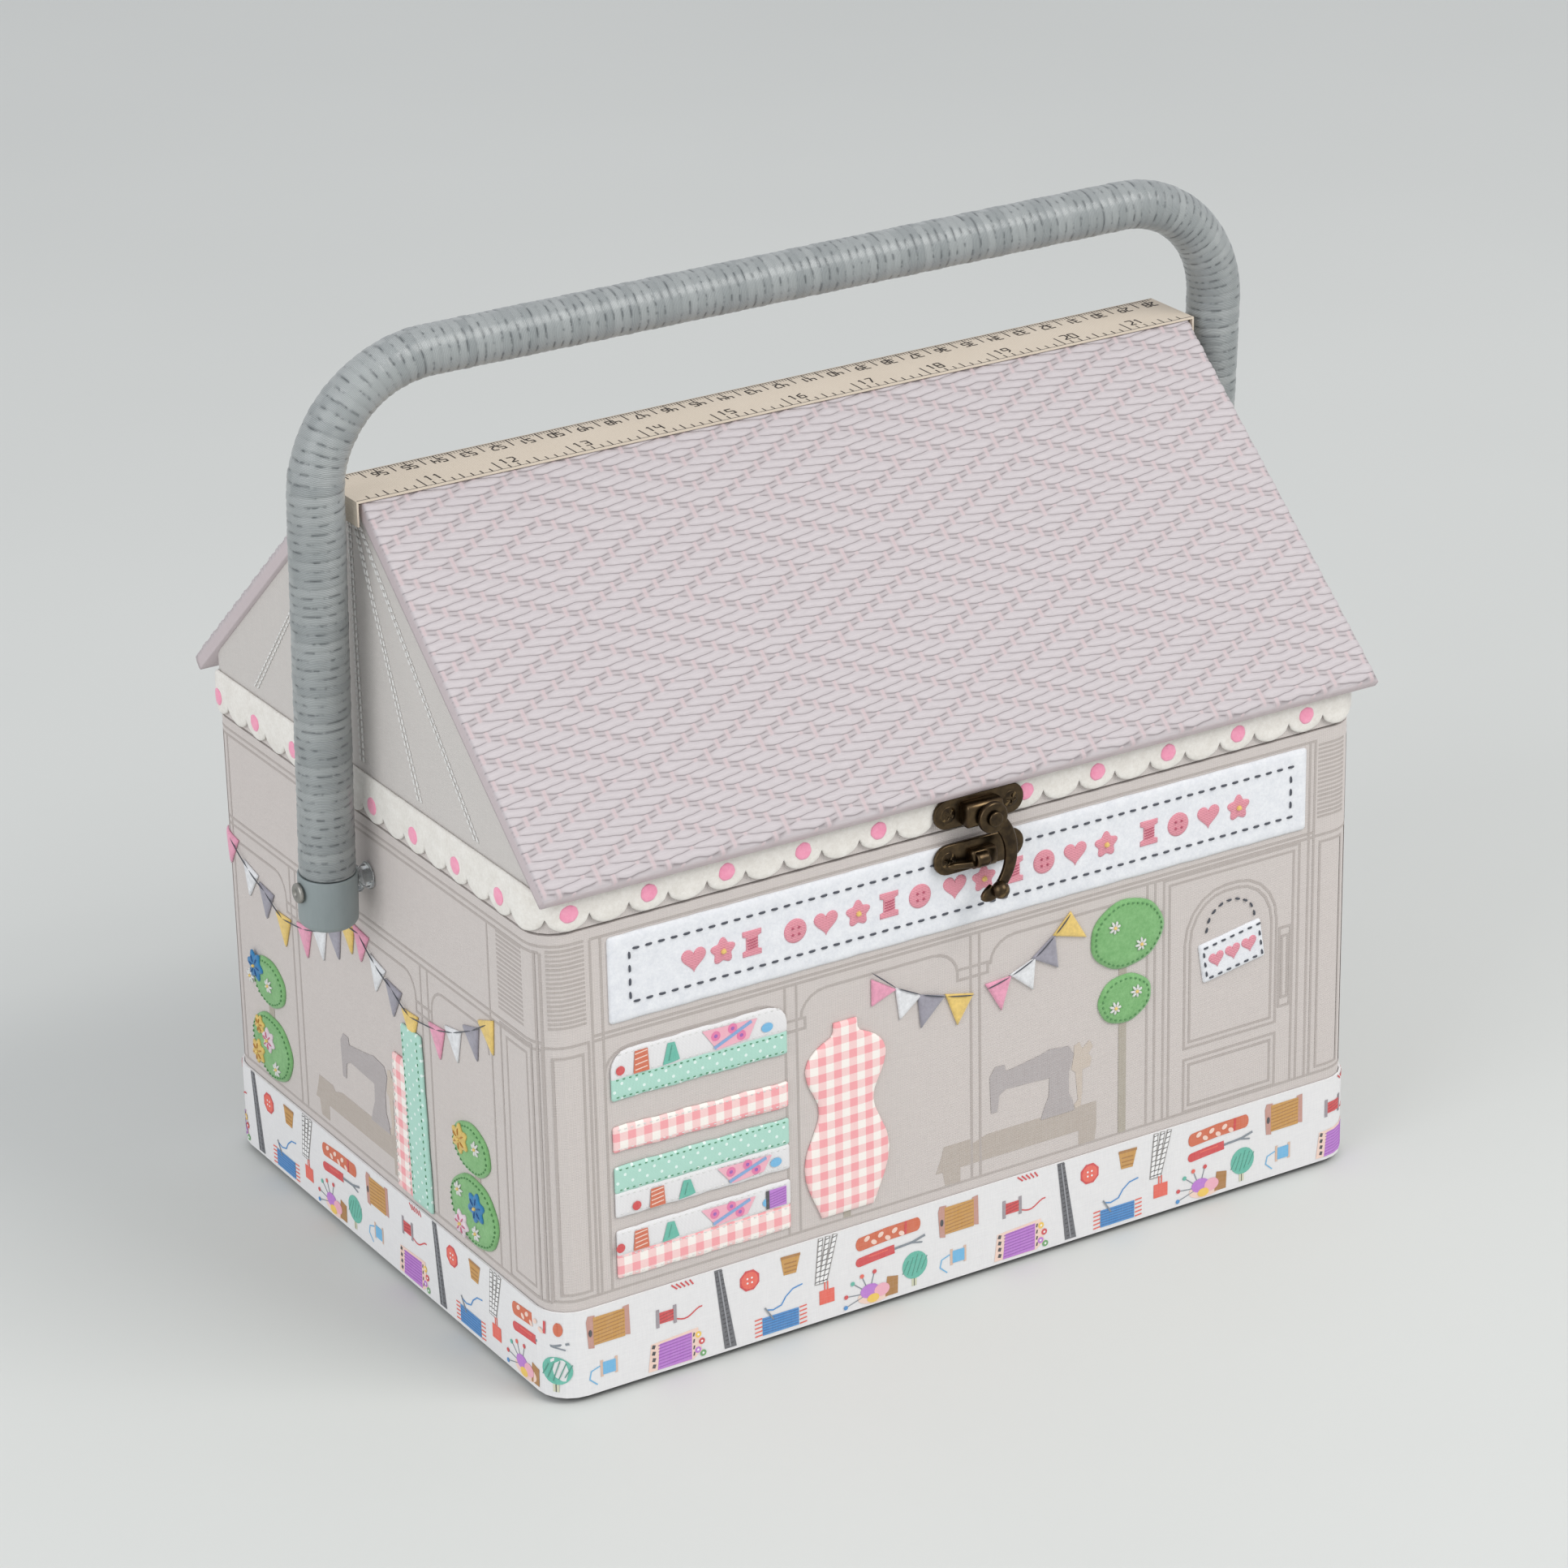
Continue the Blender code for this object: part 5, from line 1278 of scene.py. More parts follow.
for side in (0.0, 1000.0):
    for foot in (-72, -37, 0, 37, 72):
        for apart in (-1.1, 1.1):
            top = (side + foot * 0.09 + apart * 0.6, 250.0)
            low = (side + foot + apart, 171.5)
            running([top, low], 2.4, tint(244, 243, 240), 0.6, 0.16, False, 0.92, 0.12)
sewn("gable_stitches", "lid", on_gables)

# The roof: two boards covered in a woven mat of flat satin strands. Thin upright stems stand every few
# millimetres; the broad strands run level, over two stems and under two, and the count turns back on itself
# every twelve stems and twelve rows, which draws nested diamonds.

roof_low, roof_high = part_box("roof_front")
ROOF_RISE, ROOF_RUN = 0.0906, 0.1037
PITCH = math.atan2(ROOF_RISE, ROOF_RUN)
ROOF_BOARD, ROOF_ROUND = 0.005, 0.0018
EAVE = np.array([roof_low.y, roof_low.z + ROOF_BOARD * math.cos(PITCH)])
SLOPE = math.hypot(ROOF_RISE, ROOF_RUN)
STEM_EVERY, ROW_EVERY = 0.00454, 0.0022
STEM_MIDDLE, ROW_MIDDLE = -0.0979, 0.0567
TURN_AFTER = 12  # stems or rows before the count turns back
BULGE = 0.3  # how far a strand that lies on top spreads over its neighbours, in rows
MAT_HIGH, MAT_MARGIN = 0.0006, 0.0006  # the mat's relief, and how far inside the board's edge it stops


def fold_back(number):
    """Counts up to the turning point and down again."""
    return np.abs((number % (2 * TURN_AFTER)) - TURN_AFTER)


def woven_roof():
    """One slope of the roof as a closed shell. Across the mat, four points to a row: its two edges lie low
    and its middle is full. Along it, five points to a stem: a strand is high where it passes over a stem and
    dives where it passes under, and the stem's own ridge stands above it there. Gives x, distance up the
    slope, relief, and how much the stem is on top."""
    half = roof_high.x
    first = math.floor((-half - STEM_MIDDLE) / STEM_EVERY)
    last = math.ceil((half - STEM_MIDDLE) / STEM_EVERY)
    along = np.arange(first * 5, last * 5 + 1) / 5
    along = along[np.abs(STEM_MIDDLE + along * STEM_EVERY) < half - MAT_MARGIN]
    low, high = math.floor(-ROW_MIDDLE / ROW_EVERY), math.ceil((SLOPE - ROW_MIDDLE) / ROW_EVERY)
    within = np.array([0.0, 0.2, 0.5, 0.8])
    up = (np.arange(low, high)[:, None] + within).ravel()
    up = up[(ROW_MIDDLE + up * ROW_EVERY > MAT_MARGIN) & (ROW_MIDDLE + up * ROW_EVERY < SLOPE - MAT_MARGIN)]
    row, share = np.floor(up + 1e-6), (up + 1e-6) % 1
    stem = np.floor(along + 0.5)
    before, after = np.floor(along + 1e-6), np.ceil(along - 1e-6)

    ease = (1 - np.cos(np.pi * (along - before))) / 2

    def over_at(column, beside=0):
        """1 where the strand of this row, or of the one beside it, passes over that stem."""
        return (((fold_back(column)[None] + fold_back(row + beside)[:, None]) % 4) >= 2).astype(float)

    def strand_over(beside=0):
        return over_at(before, beside) * (1 - ease) + over_at(after, beside) * ease

    over = strand_over()
    full = (1 - np.abs(2 * share - 1) ** 2.4)[:, None]
    strand = full * (0.3 + 0.7 * over)
    pull = np.where(share[:, None] < 0.5, strand_over(-1) - over, over - strand_over(1)) * BULGE
    bulge = pull * np.abs(2 * share - 1)[:, None]
    near = np.clip(1 - np.abs(along - stem) / 0.24, 0, 1)[None]
    on_top = near * (1 - over_at(stem))
    relief = np.maximum(strand, on_top * (0.62 + 0.25 * full))
    level = np.clip(ROW_MIDDLE + (up[:, None] + bulge) * ROW_EVERY, MAT_MARGIN, SLOPE - MAT_MARGIN)
    level[0], level[-1] = MAT_MARGIN, SLOPE - MAT_MARGIN
    return STEM_MIDDLE + along * STEM_EVERY, level, relief, on_top


def roof_slope(name, side):
    """The woven face, carried round the board's rounded edges and closed by its flat underside."""
    x, grid_up, relief, on_top = woven_roof()
    rows, columns = grid_up.shape
    up = grid_up[:, 0]
    grid_x = np.broadcast_to(x, grid_up.shape)
    edge = np.minimum.reduce([grid_x + roof_high.x, roof_high.x - grid_x, grid_up, SLOPE - grid_up])
    sink = ROOF_ROUND - np.sqrt(np.maximum(ROOF_ROUND**2 - np.maximum(ROOF_ROUND - edge, 0) ** 2, 0))
    level = relief * MAT_HIGH - MAT_HIGH * 0.6 - sink
    rim = np.concatenate([
        np.stack([x, np.full(columns, up[0])], 1),
        np.stack([np.full(rows, x[-1]), grid_up[:, -1]], 1)[1:],
        np.stack([x[::-1], np.full(columns, up[-1])], 1)[1:],
        np.stack([np.full(rows, x[0]), up[::-1]], 1)[1:-1],
    ])
    top = np.arange(rows * columns).reshape(rows, columns)
    loop = np.concatenate([top[0], top[1:, -1], top[-1, ::-1][1:], top[::-1, 0][1:-1]])
    at_end = np.abs(rim[:, 0]) > abs(x[-1]) - 1e-5
    at_foot, at_head = rim[:, 1] <= up[0] + 1e-6, rim[:, 1] >= up[-1] - 1e-6
    outer = np.stack([np.where(at_end, np.sign(rim[:, 0]) * roof_high.x, rim[:, 0]),
                      np.where(at_foot, 0.0, np.where(at_head, SLOPE, rim[:, 1]))], 1)
    skirts = [(outer, -ROOF_ROUND), (outer, -ROOF_BOARD + 0.0008), (rim, -ROOF_BOARD)]
    flat_x = np.concatenate([grid_x.ravel(), *(ring[:, 0] for ring, _ in skirts)])
    flat_up = np.concatenate([grid_up.ravel(), *(ring[:, 1] for ring, _ in skirts)])
    stand = np.concatenate([level.ravel(), *(np.full(len(rim), height) for _, height in skirts)])
    a, b = top[:-1, :-1], top[1:, 1:]
    faces = np.stack([a, top[:-1, 1:], b, top[1:, :-1]], -1).reshape(-1, 4).tolist()
    rings = [loop] + [rows * columns + k * len(rim) + np.arange(len(rim)) for k in range(3)]
    for first, second in zip(rings, rings[1:]):
        faces += np.stack([np.roll(first, -1), first, second, np.roll(second, -1)], 1).tolist()
    faces.append(rings[-1][::-1].tolist())
    y = EAVE[0] + flat_up * math.cos(PITCH) - stand * math.sin(PITCH)
    z = EAVE[1] + flat_up * math.sin(PITCH) + stand * math.cos(PITCH)
    if side > 0:
        y = -y
        faces = [face[::-1] for face in faces]
    obj = piece(name, np.stack([flat_x, y, z], 1), faces, mat)
    rest = np.full(len(flat_x) - rows * columns, 0.45)
    carry(obj, depth=np.concatenate([1 - relief.ravel(), rest]), stem=np.concatenate([on_top.ravel(), rest]))
    chart(obj, "mat", np.stack([flat_x, flat_up], 1) / MM)
    return obj


mat = Finish("satin_straw_mat", Roughness=0.42, Specular_IOR_Level=0.45)
mat_chart = mat.add("ShaderNodeUVMap", {"uv_map": "mat"})
mat_depth, mat_stem = mat.carried("depth"), mat.carried("stem")
streak = mat.noise(mat.stretch(mat_chart, (0.22, 9, 1)), 1.0, 3.0, 0.6)
batch = mat.noise(mat.stretch(mat_chart, (0.07, 0.42, 1)), 1.0, 1.0)
strand_colour = mat.mix(streak * 1.1 - 0.1, tint(180, 172, 174), tint(213, 206, 208))
strand_colour = mat.mix(mat_stem * 0.7, strand_colour, tint(200, 176, 178))
# Painted shade: where the mat lies deep, along the edges of each row and where a strand dives under a stem, its
# colour is darkened towards a dark brown-grey.
mat.colour(mat.mix(mat_depth ** 5.0 * 0.85, strand_colour, tint(108, 98, 100)))
mat.rough(0.36 + streak * 0.16 + batch * 0.1)
mat.raise_by(streak, 0.00012, 0.6)
for name, side in (("roof_front", -1), ("roof_back", 1)):
    fitted(roof_slope(f"{name}_mat", side), "lid", [name])

# The ridge: a strip of board between the slopes, under a measuring tape glued along it and folded down over
# both ends. The tape counts centimetres along its back edge and inches along its front edge.

board_white = Finish("cream_card", Roughness=0.85)
card_place, *_ = board_white.place()
card_flecks = board_white.noise(card_place, 160, 3.0)
board_white.colour(board_white.mix(card_flecks, tint(224, 220, 212), tint(204, 198, 188)))
board_white.raise_by(board_white.noise(card_place, 900, 2.0), 0.0001, 0.5)
dress(["ridge_strip", "ledge_front", "ledge_back"], board_white)

tape_cloth = Finish("cotton_tape", Roughness=0.75, Specular_IOR_Level=0.3)
tape_place, tape_x, tape_y, tape_z = tape_cloth.place()
ribs = ((tape_x + tape_z) * 1500).wave() * 0.6 + (tape_y * 1500).wave() * 0.4
tape_grime = tape_cloth.noise(tape_place, 45, 3.0)
tape_cloth.colour(tape_cloth.mix(ribs * 0.35 + tape_grime * 0.5, tint(222, 210, 194), tint(206, 192, 173)))
tape_cloth.raise_by(ribs, 0.0001, 0.7)
dress(["ridge_tape"], tape_cloth)

tape_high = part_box("ridge_tape")[1]
TAPE_TOP, TAPE_HALF, TAPE_WIDE = tape_high.z, tape_high.x / MM, tape_high.y / MM
FIGURE_STROKES = {  # through which points each figure's strokes run, in a box one unit wide and two high
    "0": [[(0, 0), (1, 0), (1, 2), (0, 2), (0, 0)]],
    "1": [[(0.5, 0), (0.5, 2)], [(0.2, 1.6), (0.5, 2)]],
    "2": [[(0, 2), (1, 2), (1, 1), (0, 0), (1, 0)]],
    "3": [[(0, 2), (1, 2), (1, 0), (0, 0)], [(0.3, 1), (1, 1)]],
    "4": [[(0, 2), (0, 1), (1, 1)], [(1, 2), (1, 0)]],
    "5": [[(1, 2), (0, 2), (0, 1), (1, 1), (1, 0), (0, 0)]],
    "6": [[(1, 2), (0, 1.4), (0, 0), (1, 0), (1, 1), (0, 1)]],
    "7": [[(0, 2), (1, 2), (0.3, 0)]],
    "8": [[(0, 0), (1, 0), (1, 2), (0, 2), (0, 0)], [(0, 1), (1, 1)]],
    "9": [[(1, 1), (0, 1), (0, 2), (1, 2), (1, 0.6), (0.4, 0)]],
}
TAPE_INK = tint(52, 44, 38)
marks = Outlines()


def figures(number, x, y, size, facing):
    """A number in thin strokes, centred; facing -1 turns it to be read from the back."""
    text = str(number)
    for place_in, digit in enumerate(text):
        left = (place_in - len(text) / 2) * 1.5 * size + 0.25 * size
        for stroke in FIGURE_STROKES[digit]:
            for (a, b), (c, d) in zip(stroke, stroke[1:]):
                ends = [(left + a * size, (b - 1) * size), (left + c * size, (d - 1) * size)]
                marks.line([(x + facing * px, y + facing * py) for px, py in ends], TAPE_INK, 0.5, 1)


TAPE_EDGE = TAPE_WIDE - 0.7
EIGHTH = 3.175  # an eighth of an inch
for y in (-TAPE_EDGE, TAPE_EDGE):
    marks.line([(-TAPE_HALF + 0.4, y), (TAPE_HALF - 0.4, y)], TAPE_INK, 0.3)
for count in range(-29, 30):
    x = count * 5.0 + 1.5
    whole = count % 2 == 0
    marks.line([(x, TAPE_EDGE), (x, TAPE_WIDE - (6.4 if whole else 4.4))], TAPE_INK, 0.45)
    if whole:
        figures(42 - count // 2, x + 5.0, TAPE_WIDE - 5.4, 1.7, -1)
for millimetre in range(-148, 149):
    marks.line([(millimetre + 0.5, TAPE_EDGE), (millimetre + 0.5, TAPE_WIDE - 2.4)], TAPE_INK, 0.2)
for count in range(-46, 47):
    x = count * EIGHTH
    long_mark = 7.6 if count % 8 == 0 else 4.6 if count % 4 == 0 else 3.2
    marks.line([(x, -TAPE_EDGE), (x, -TAPE_WIDE + long_mark)], TAPE_INK, 0.45)
    if count % 8 == 0:
        figures(16 + count // 8, x + 5.0, -TAPE_WIDE + 6.4, 2.0, 1)
tape_ink = Finish("tape_ink", Roughness=0.7)
tape_ink.colour(tape_ink.carried("dye", "Color"))
tape_marks = marks.make("tape_marks", tape_ink, 0.0, "lid", lambda way, lift: (way, lift))
across = points_of(tape_marks.data)
move_points(tape_marks.data, np.stack([across[:, 0], across[:, 2], TAPE_TOP + INK_LIFT + across[:, 1]], 1))
tape_marks.data.flip_normals()

# The handle: a steel bow wound from end to end with a glossy grey strand, each turn laid against the last. Its
# ends sit in plastic sleeves that turn on bolts through the walls, held off the cloth by clear bushes.

bow_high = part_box("handle_bow")[1]
sleeve_low, sleeve_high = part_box("handle_sleeve_left")
LEAN = math.radians(3.2)
PIVOT_Z = 0.1343
HANDLE_X = -(sleeve_low.x + sleeve_high.x) / 2
LEG_RADIUS, BAR_RADIUS, BEND = 0.00875, 0.0078, 0.038
REACH = (bow_high.z - BAR_RADIUS - PIVOT_Z) / math.cos(LEAN)
BOW_START = 0.0053
TURN_EVERY = 0.0029


def wound_bow():
    """A tube along the bow. The strand is a helix: round and along the tube its turns give a saw of rounded
    ridges, one less the 3.5th power of the way from each turn's middle. Each turn's height differs a little.
    Gives the points, the faces and, for each point, how deep it lies, the turn's own shade and the way along."""
    straight, bend = REACH - BEND - BOW_START, BEND * math.pi / 2
    bar = 2 * (HANDLE_X - BEND)
    total = 2 * (straight + bend) + bar
    turns = round(total / TURN_EVERY)
    per_turn, around_count = 8, 44
    count = turns * per_turn + 1
    s = np.linspace(0, total, count)
    first = np.clip((s - straight) / BEND, 0, math.pi / 2)
    second = np.clip((s - straight - bend - bar) / BEND, 0, math.pi / 2)
    leg = np.minimum(s, straight)
    over = np.clip(s - straight - bend, 0, bar)
    down = np.maximum(s - straight - 2 * bend - bar, 0)
    x = -HANDLE_X + BEND * (1 - np.cos(first)) + over + BEND * np.sin(second)
    z = BOW_START + leg + BEND * np.sin(first) - BEND * (1 - np.cos(second)) - down
    turn = first + second
    share = np.clip((z - (REACH - BEND)) / BEND, 0, 1)
    radius = LEG_RADIUS + (BAR_RADIUS - LEG_RADIUS) * share
    angle = np.arange(around_count) * math.tau / around_count
    helix = s[:, None] / TURN_EVERY + angle[None] / math.tau
    part, which = helix % 1, np.floor(helix)
    uneven = 0.5 + 0.5 * np.sin(which * 12.9898 + 78.233 * np.sin(which * 3.17))
    ridge = 1 - np.abs(2 * part - 1) ** 3.5
    r = radius[:, None] - 0.0002 * (1 - ridge) - 0.00014 * uneven
    out_x, out_z = -np.cos(turn), np.sin(turn)
    px = x[:, None] + r * np.cos(angle) * out_x[:, None]
    pz = z[:, None] + r * np.cos(angle) * out_z[:, None]
    py = r * np.sin(angle)
    ly = py * math.cos(LEAN) - pz * math.sin(LEAN)
    lz = py * math.sin(LEAN) + pz * math.cos(LEAN) + PIVOT_Z
    points = np.stack([px, ly, lz], -1).reshape(-1, 3)
    return points, capped(count, around_count), 1 - ridge, uneven, np.repeat(s, around_count)


strand = Finish("wound_grey_strand", Roughness=0.34, Specular_IOR_Level=0.5)
strand.shader.inputs["Coat Weight"].default_value = 0.5
strand.shader.inputs["Coat Roughness"].default_value = 0.22
strand_place, *_ = strand.place()
strand_gap, strand_shade, strand_along = strand.carried("gap"), strand.carried("shade"), strand.carried("along")
fibres = ((strand_along * 2600 + strand.noise(strand_place, 260, 2.0) * 1.4)).wave()
glint = strand.noise(strand.stretch(strand_place, (500, 500, 500)), 1.0, 2.0)
strand_colour = strand.mix(strand_shade * 0.3 + fibres * 0.5, tint(130, 136, 137), tint(184, 188, 187))
# Painted shade: the strand's colour is darkened towards a dark blue-grey in the gaps where one turn meets the
# next, broken into patches by noise.
broken = ((strand.noise(strand_place, 300, 3.0) - 0.48) * 10.0).over(0.1).under(1.0)
strand.colour(strand.mix((strand_gap ** 1.3) * broken * 0.95, strand_colour, tint(48, 56, 60)))
strand.rough(0.2 + glint * 0.3)
strand.raise_by(fibres, 0.00016, 0.8)
points, faces, gap, shade, along = wound_bow()
wound = piece("handle_winding", points, faces, strand)
carry(wound, gap=gap, shade=shade, along=along)
fitted(closed(wound), "handle", ["handle_bow"])


def lathe(profile, centre, axis, steps=56):
    """A turned shape: its radius and height run along a profile, which is carried round an axis. The axis is
    the last row of the frame of directions given."""
    radius, height = np.asarray(profile, float).T
    angle = np.arange(steps) * math.tau / steps
    u, v, w = (np.asarray(row, float) for row in axis)
    ring = np.cos(angle)[None, :, None] * u + np.sin(angle)[None, :, None] * v
    points = np.asarray(centre) + radius[:, None, None] * ring + height[:, None, None] * w
    return points.reshape(-1, 3), tube(len(radius), steps)


def cast(name, shells, finish, body, replaces):
    """Several closed shells as one piece that stands for the plain nodes named."""
    return fitted(closed(piece(name, *gathered(shells), finish)), body, replaces)


def turned(name, profile, centre, axis, finish, body, replaces, steps=56):
    """One lathe shape as a piece."""
    return cast(name, [lathe(profile, centre, axis, steps)], finish, body, replaces)


def soft_corner(corner, radius, start, turn=math.pi / 2, count=5):
    """A rounded corner of a lathe profile."""
    angles = start + np.linspace(0, turn, count)
    return [(corner[0] + radius * math.cos(a), corner[1] + radius * math.sin(a)) for a in angles]


sleeve_grey = Finish("grey_sleeve_plastic", Roughness=0.42, Specular_IOR_Level=0.5)
sleeve_place, *_ = sleeve_grey.place()
scuff = sleeve_grey.noise(sleeve_grey.stretch(sleeve_place, (260, 260, 90)), 1.0, 4.0, 0.65)
sleeve_grey.colour(sleeve_grey.mix(scuff, tint(128, 138, 139), tint(143, 152, 152)))
sleeve_grey.rough(0.34 + scuff * 0.2)
sleeve_grey.raise_by(sleeve_grey.noise(sleeve_place, 1500, 2.0), 0.00004, 0.5)
steel = Finish("dull_steel_bolt", Metallic=1.0, Roughness=0.36)
steel_place, *_ = steel.place()
worn = steel.noise(steel_place, 700, 3.0)
steel.colour(steel.mix(worn, tint(120, 118, 112), tint(186, 184, 178)))
steel.rough(0.28 + worn * 0.22)
bush_clear = Finish("clear_bush", Roughness=0.08, IOR=1.49)
bush_clear.shader.inputs["Transmission Weight"].default_value = 0.85
bush_clear.shader.inputs["Base Color"].default_value = tint(236, 240, 242)
bush_place, *_ = bush_clear.place()
bush_clear.raise_by(bush_clear.noise(bush_place, 500, 2.0), 0.00005, 0.4)

SLEEVE_RADIUS = (sleeve_high.x - sleeve_low.x) / 2
leaning = ((1, 0, 0), (0, math.cos(LEAN), math.sin(LEAN)), (0, -math.sin(LEAN), math.cos(LEAN)))
for side, word in ((-1, "left"), (1, "right")):
    r, top, foot = SLEEVE_RADIUS, 0.0050, -0.0124
    turned(
        f"sleeve_{word}",
        [(0, foot), *soft_corner((r - 0.0025, foot + 0.0025), 0.0025, -math.pi / 2, count=6),
         *soft_corner((r - 0.0004, top - 0.0004), 0.0004, 0, count=4), (LEG_RADIUS - 0.0004, top - 0.0002),
         (0, top - 0.0002)],
        (side * HANDLE_X, 0, PIVOT_Z), leaning, sleeve_grey, "handle", [f"handle_sleeve_{word}"],
    )
    bolt_low, bolt_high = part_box(f"handle_bolt_{word}")
    out = bolt_high.x if side > 0 else -bolt_low.x
    inner = bolt_low.x if side > 0 else -bolt_high.x
    outwards = ((0, 1, 0), (0, 0, 1), (side, 0, 0))
    turned(
        f"bolt_{word}",
        [(0, inner), (0.0017, inner), (0.0019, inner + 0.0003), (0.0019, out - 0.0015), (0.0032, out - 0.0015),
         *soft_corner((0.0024, out - 0.0009), 0.0008, 0, count=4), (0.0011, out - 0.00005), (0.0009, out - 0.0005),
         (0, out - 0.0006)],
        (0, 0, PIVOT_Z), outwards, steel, "box", [f"handle_bolt_{word}"], 40,
    )
    near, far = WALL_X + 0.0003, WALL_X + 0.0047
    turned(
        f"bush_{word}",
        [(0.0020, near), *soft_corner((0.0039, near + 0.0005), 0.0005, -math.pi / 2), (0.0032, (near + far) / 2),
         *soft_corner((0.0039, far - 0.0005), 0.0005, 0), (0.0020, far), (0.0020, near)],
        (0, 0, PIVOT_Z), outwards, bush_clear, "box", [f"handle_spacer_{word}"], 40,
    )
dress(["handle_nut_left", "handle_nut_right"], steel)

# The clasp: two cast plates in antique bronze, each held by two screws. The upper one carries a curled hook on
# a pivot, the lower one a ball stud that the hook snaps over.

bronze = Finish("antique_bronze_cast", Metallic=1.0, Roughness=0.3)
bronze_place, *_ = bronze.place()
rubbed = bronze.noise(bronze_place, 420, 4.0, 0.6)
pitted = bronze.noise(bronze_place, 1500, 2.0)
# Painted light and wear: the rubbed noise gives the worn bronze an uneven tone, while the Pointiness term lightens
# the raised edges as a painted highlight and darkens the hollows and screw slots as painted shade.
edge = bronze.add("ShaderNodeNewGeometry", output="Pointiness")
worn_tone_and_painted_light = ((rubbed - 0.42) * 0.9 + (edge - 0.5) * 6.0).over(0.0).under(1.0)
bronze.colour(bronze.mix(worn_tone_and_painted_light, tint(56, 47, 38), tint(118, 98, 70)))
bronze.rough(0.34 - worn_tone_and_painted_light * 0.1)
bronze.raise_by(pitted, 0.00002, 0.4)
FORWARD = ((1, 0, 0), (0, 0, 1), (0, -1, 0))  # a lathe frame whose axis points to the front
clasp_back = -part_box("clasp_hook")[1].y
HOOK_THICK = 0.0020
clasp_face = clasp_back + HOOK_THICK


def middle_of(node):
    """The middle of a node, as place along the front and height."""
    low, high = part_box(node)
    return np.array([(low.x + high.x) / 2, (low.z + high.z) / 2])


def arm(path, half_wide, half_thick, middle, count=24):
    """A cast arm on the front: a squarish oval, the root of the cosine by the root of the sine, carried along
    a path of place and height. Its half width, half thickness and distance forward are given for each point."""
    path = np.asarray(path, float)
    run = np.gradient(path, axis=0)
    run /= np.linalg.norm(run, axis=1)[:, None]
    side = np.stack([-run[:, 1], run[:, 0]], 1)
    angle = np.arange(count) * math.tau / count
    across = np.sign(np.cos(angle)) * np.abs(np.cos(angle)) ** 0.55
    out = np.sign(np.sin(angle)) * np.abs(np.sin(angle)) ** 0.55
    flat = path[:, None] + side[:, None] * (across[None] * half_wide[:, None])[..., None]
    forward = middle[:, None] + out[None] * half_thick[:, None]
    points = np.stack([flat[..., 0], -forward, flat[..., 1]], -1).reshape(-1, 3)
    return points, capped(len(path), count)


def ball(place, forward, radius, steps=14):
    """A ball as a lathe shape, its axis pointing forward."""
    angle = np.linspace(-math.pi / 2, math.pi / 2, steps)
    profile = np.stack([radius * np.cos(angle), radius * np.sin(angle)], 1)
    return lathe(profile, (place[0], -forward, place[1]), FORWARD, 28)


def oblong(middle, half_long, half_high, back, front, edge, count=12):
    """A plate with round ends: its outline drawn in by the edge's rounding as it comes forward."""
    turns = np.concatenate([np.linspace(-math.pi / 2, math.pi / 2, count),
                            np.linspace(math.pi / 2, 3 * math.pi / 2, count)])
    ends = np.repeat([1.0, -1.0], count) * (half_long - half_high)
    levels = [(0.0, back), (0.0, front - edge)]
    levels += [(edge * (1 - math.cos(a)), front - edge + edge * math.sin(a)) for a in (0.5, 1.0, math.pi / 2)]
    points = [np.stack([middle[0] + ends + (half_high - drawn) * np.cos(turns), np.full(2 * count, -level),
                        middle[1] + (half_high - drawn) * np.sin(turns)], 1) for drawn, level in levels]
    return np.concatenate(points), capped(len(levels), 2 * count)


def block(middle, half_long, half_high, back, front, edge=0.0007):
    """A lug with rounded edges: an arm with a short straight path."""
    reach = half_long - edge
    stops = (-half_long, -reach - edge * 0.4, -reach, reach, reach + edge * 0.4, half_long)
    path = [(middle[0] + x, middle[1]) for x in stops]
    narrow = np.array([edge, edge * 0.25, 0, 0, edge * 0.25, edge])
    return arm(path, half_high - narrow, (front - back) / 2 - narrow, np.full(6, (front + back) / 2), 28)


def screw_head(middle, face, turn, radius=0.0026, rings=16, count=60):
    """A countersunk screw: a shallow dome, cut by a cross whose arms are half a millimetre wide and taper
    towards the dome's edge."""
    out = np.linspace(1, 0, rings, endpoint=False)[:, None] * radius
    angle = np.arange(count)[None] * math.tau / count
    u, v = out * np.cos(angle + turn), out * np.sin(angle + turn)
    near, far = np.minimum(np.abs(u), np.abs(v)), np.maximum(np.abs(u), np.abs(v))
    cut = np.clip((0.00042 - near) / 0.0001, 0, 1) * np.clip((0.0017 - far) / 0.0003, 0, 1)
    level = 0.00045 * (1 - (out / radius) ** 2) - 0.0010 * cut
    x, z = middle[0] + out * np.cos(angle), middle[1] + out * np.sin(angle)
    top = np.stack([x, -(face + level), z], -1).reshape(-1, 3)
    foot = top[:count].copy()
    foot[:, 1] = -(face - 0.0011)
    points = np.concatenate([foot, top, [[middle[0], -(face - 0.00055), middle[1]]]])
    last = rings * count
    tip = [[last + k, last + (k + 1) % count, last + count] for k in range(count)]
    return points, tube(rings + 1, count) + tip + [list(range(count))[::-1]]


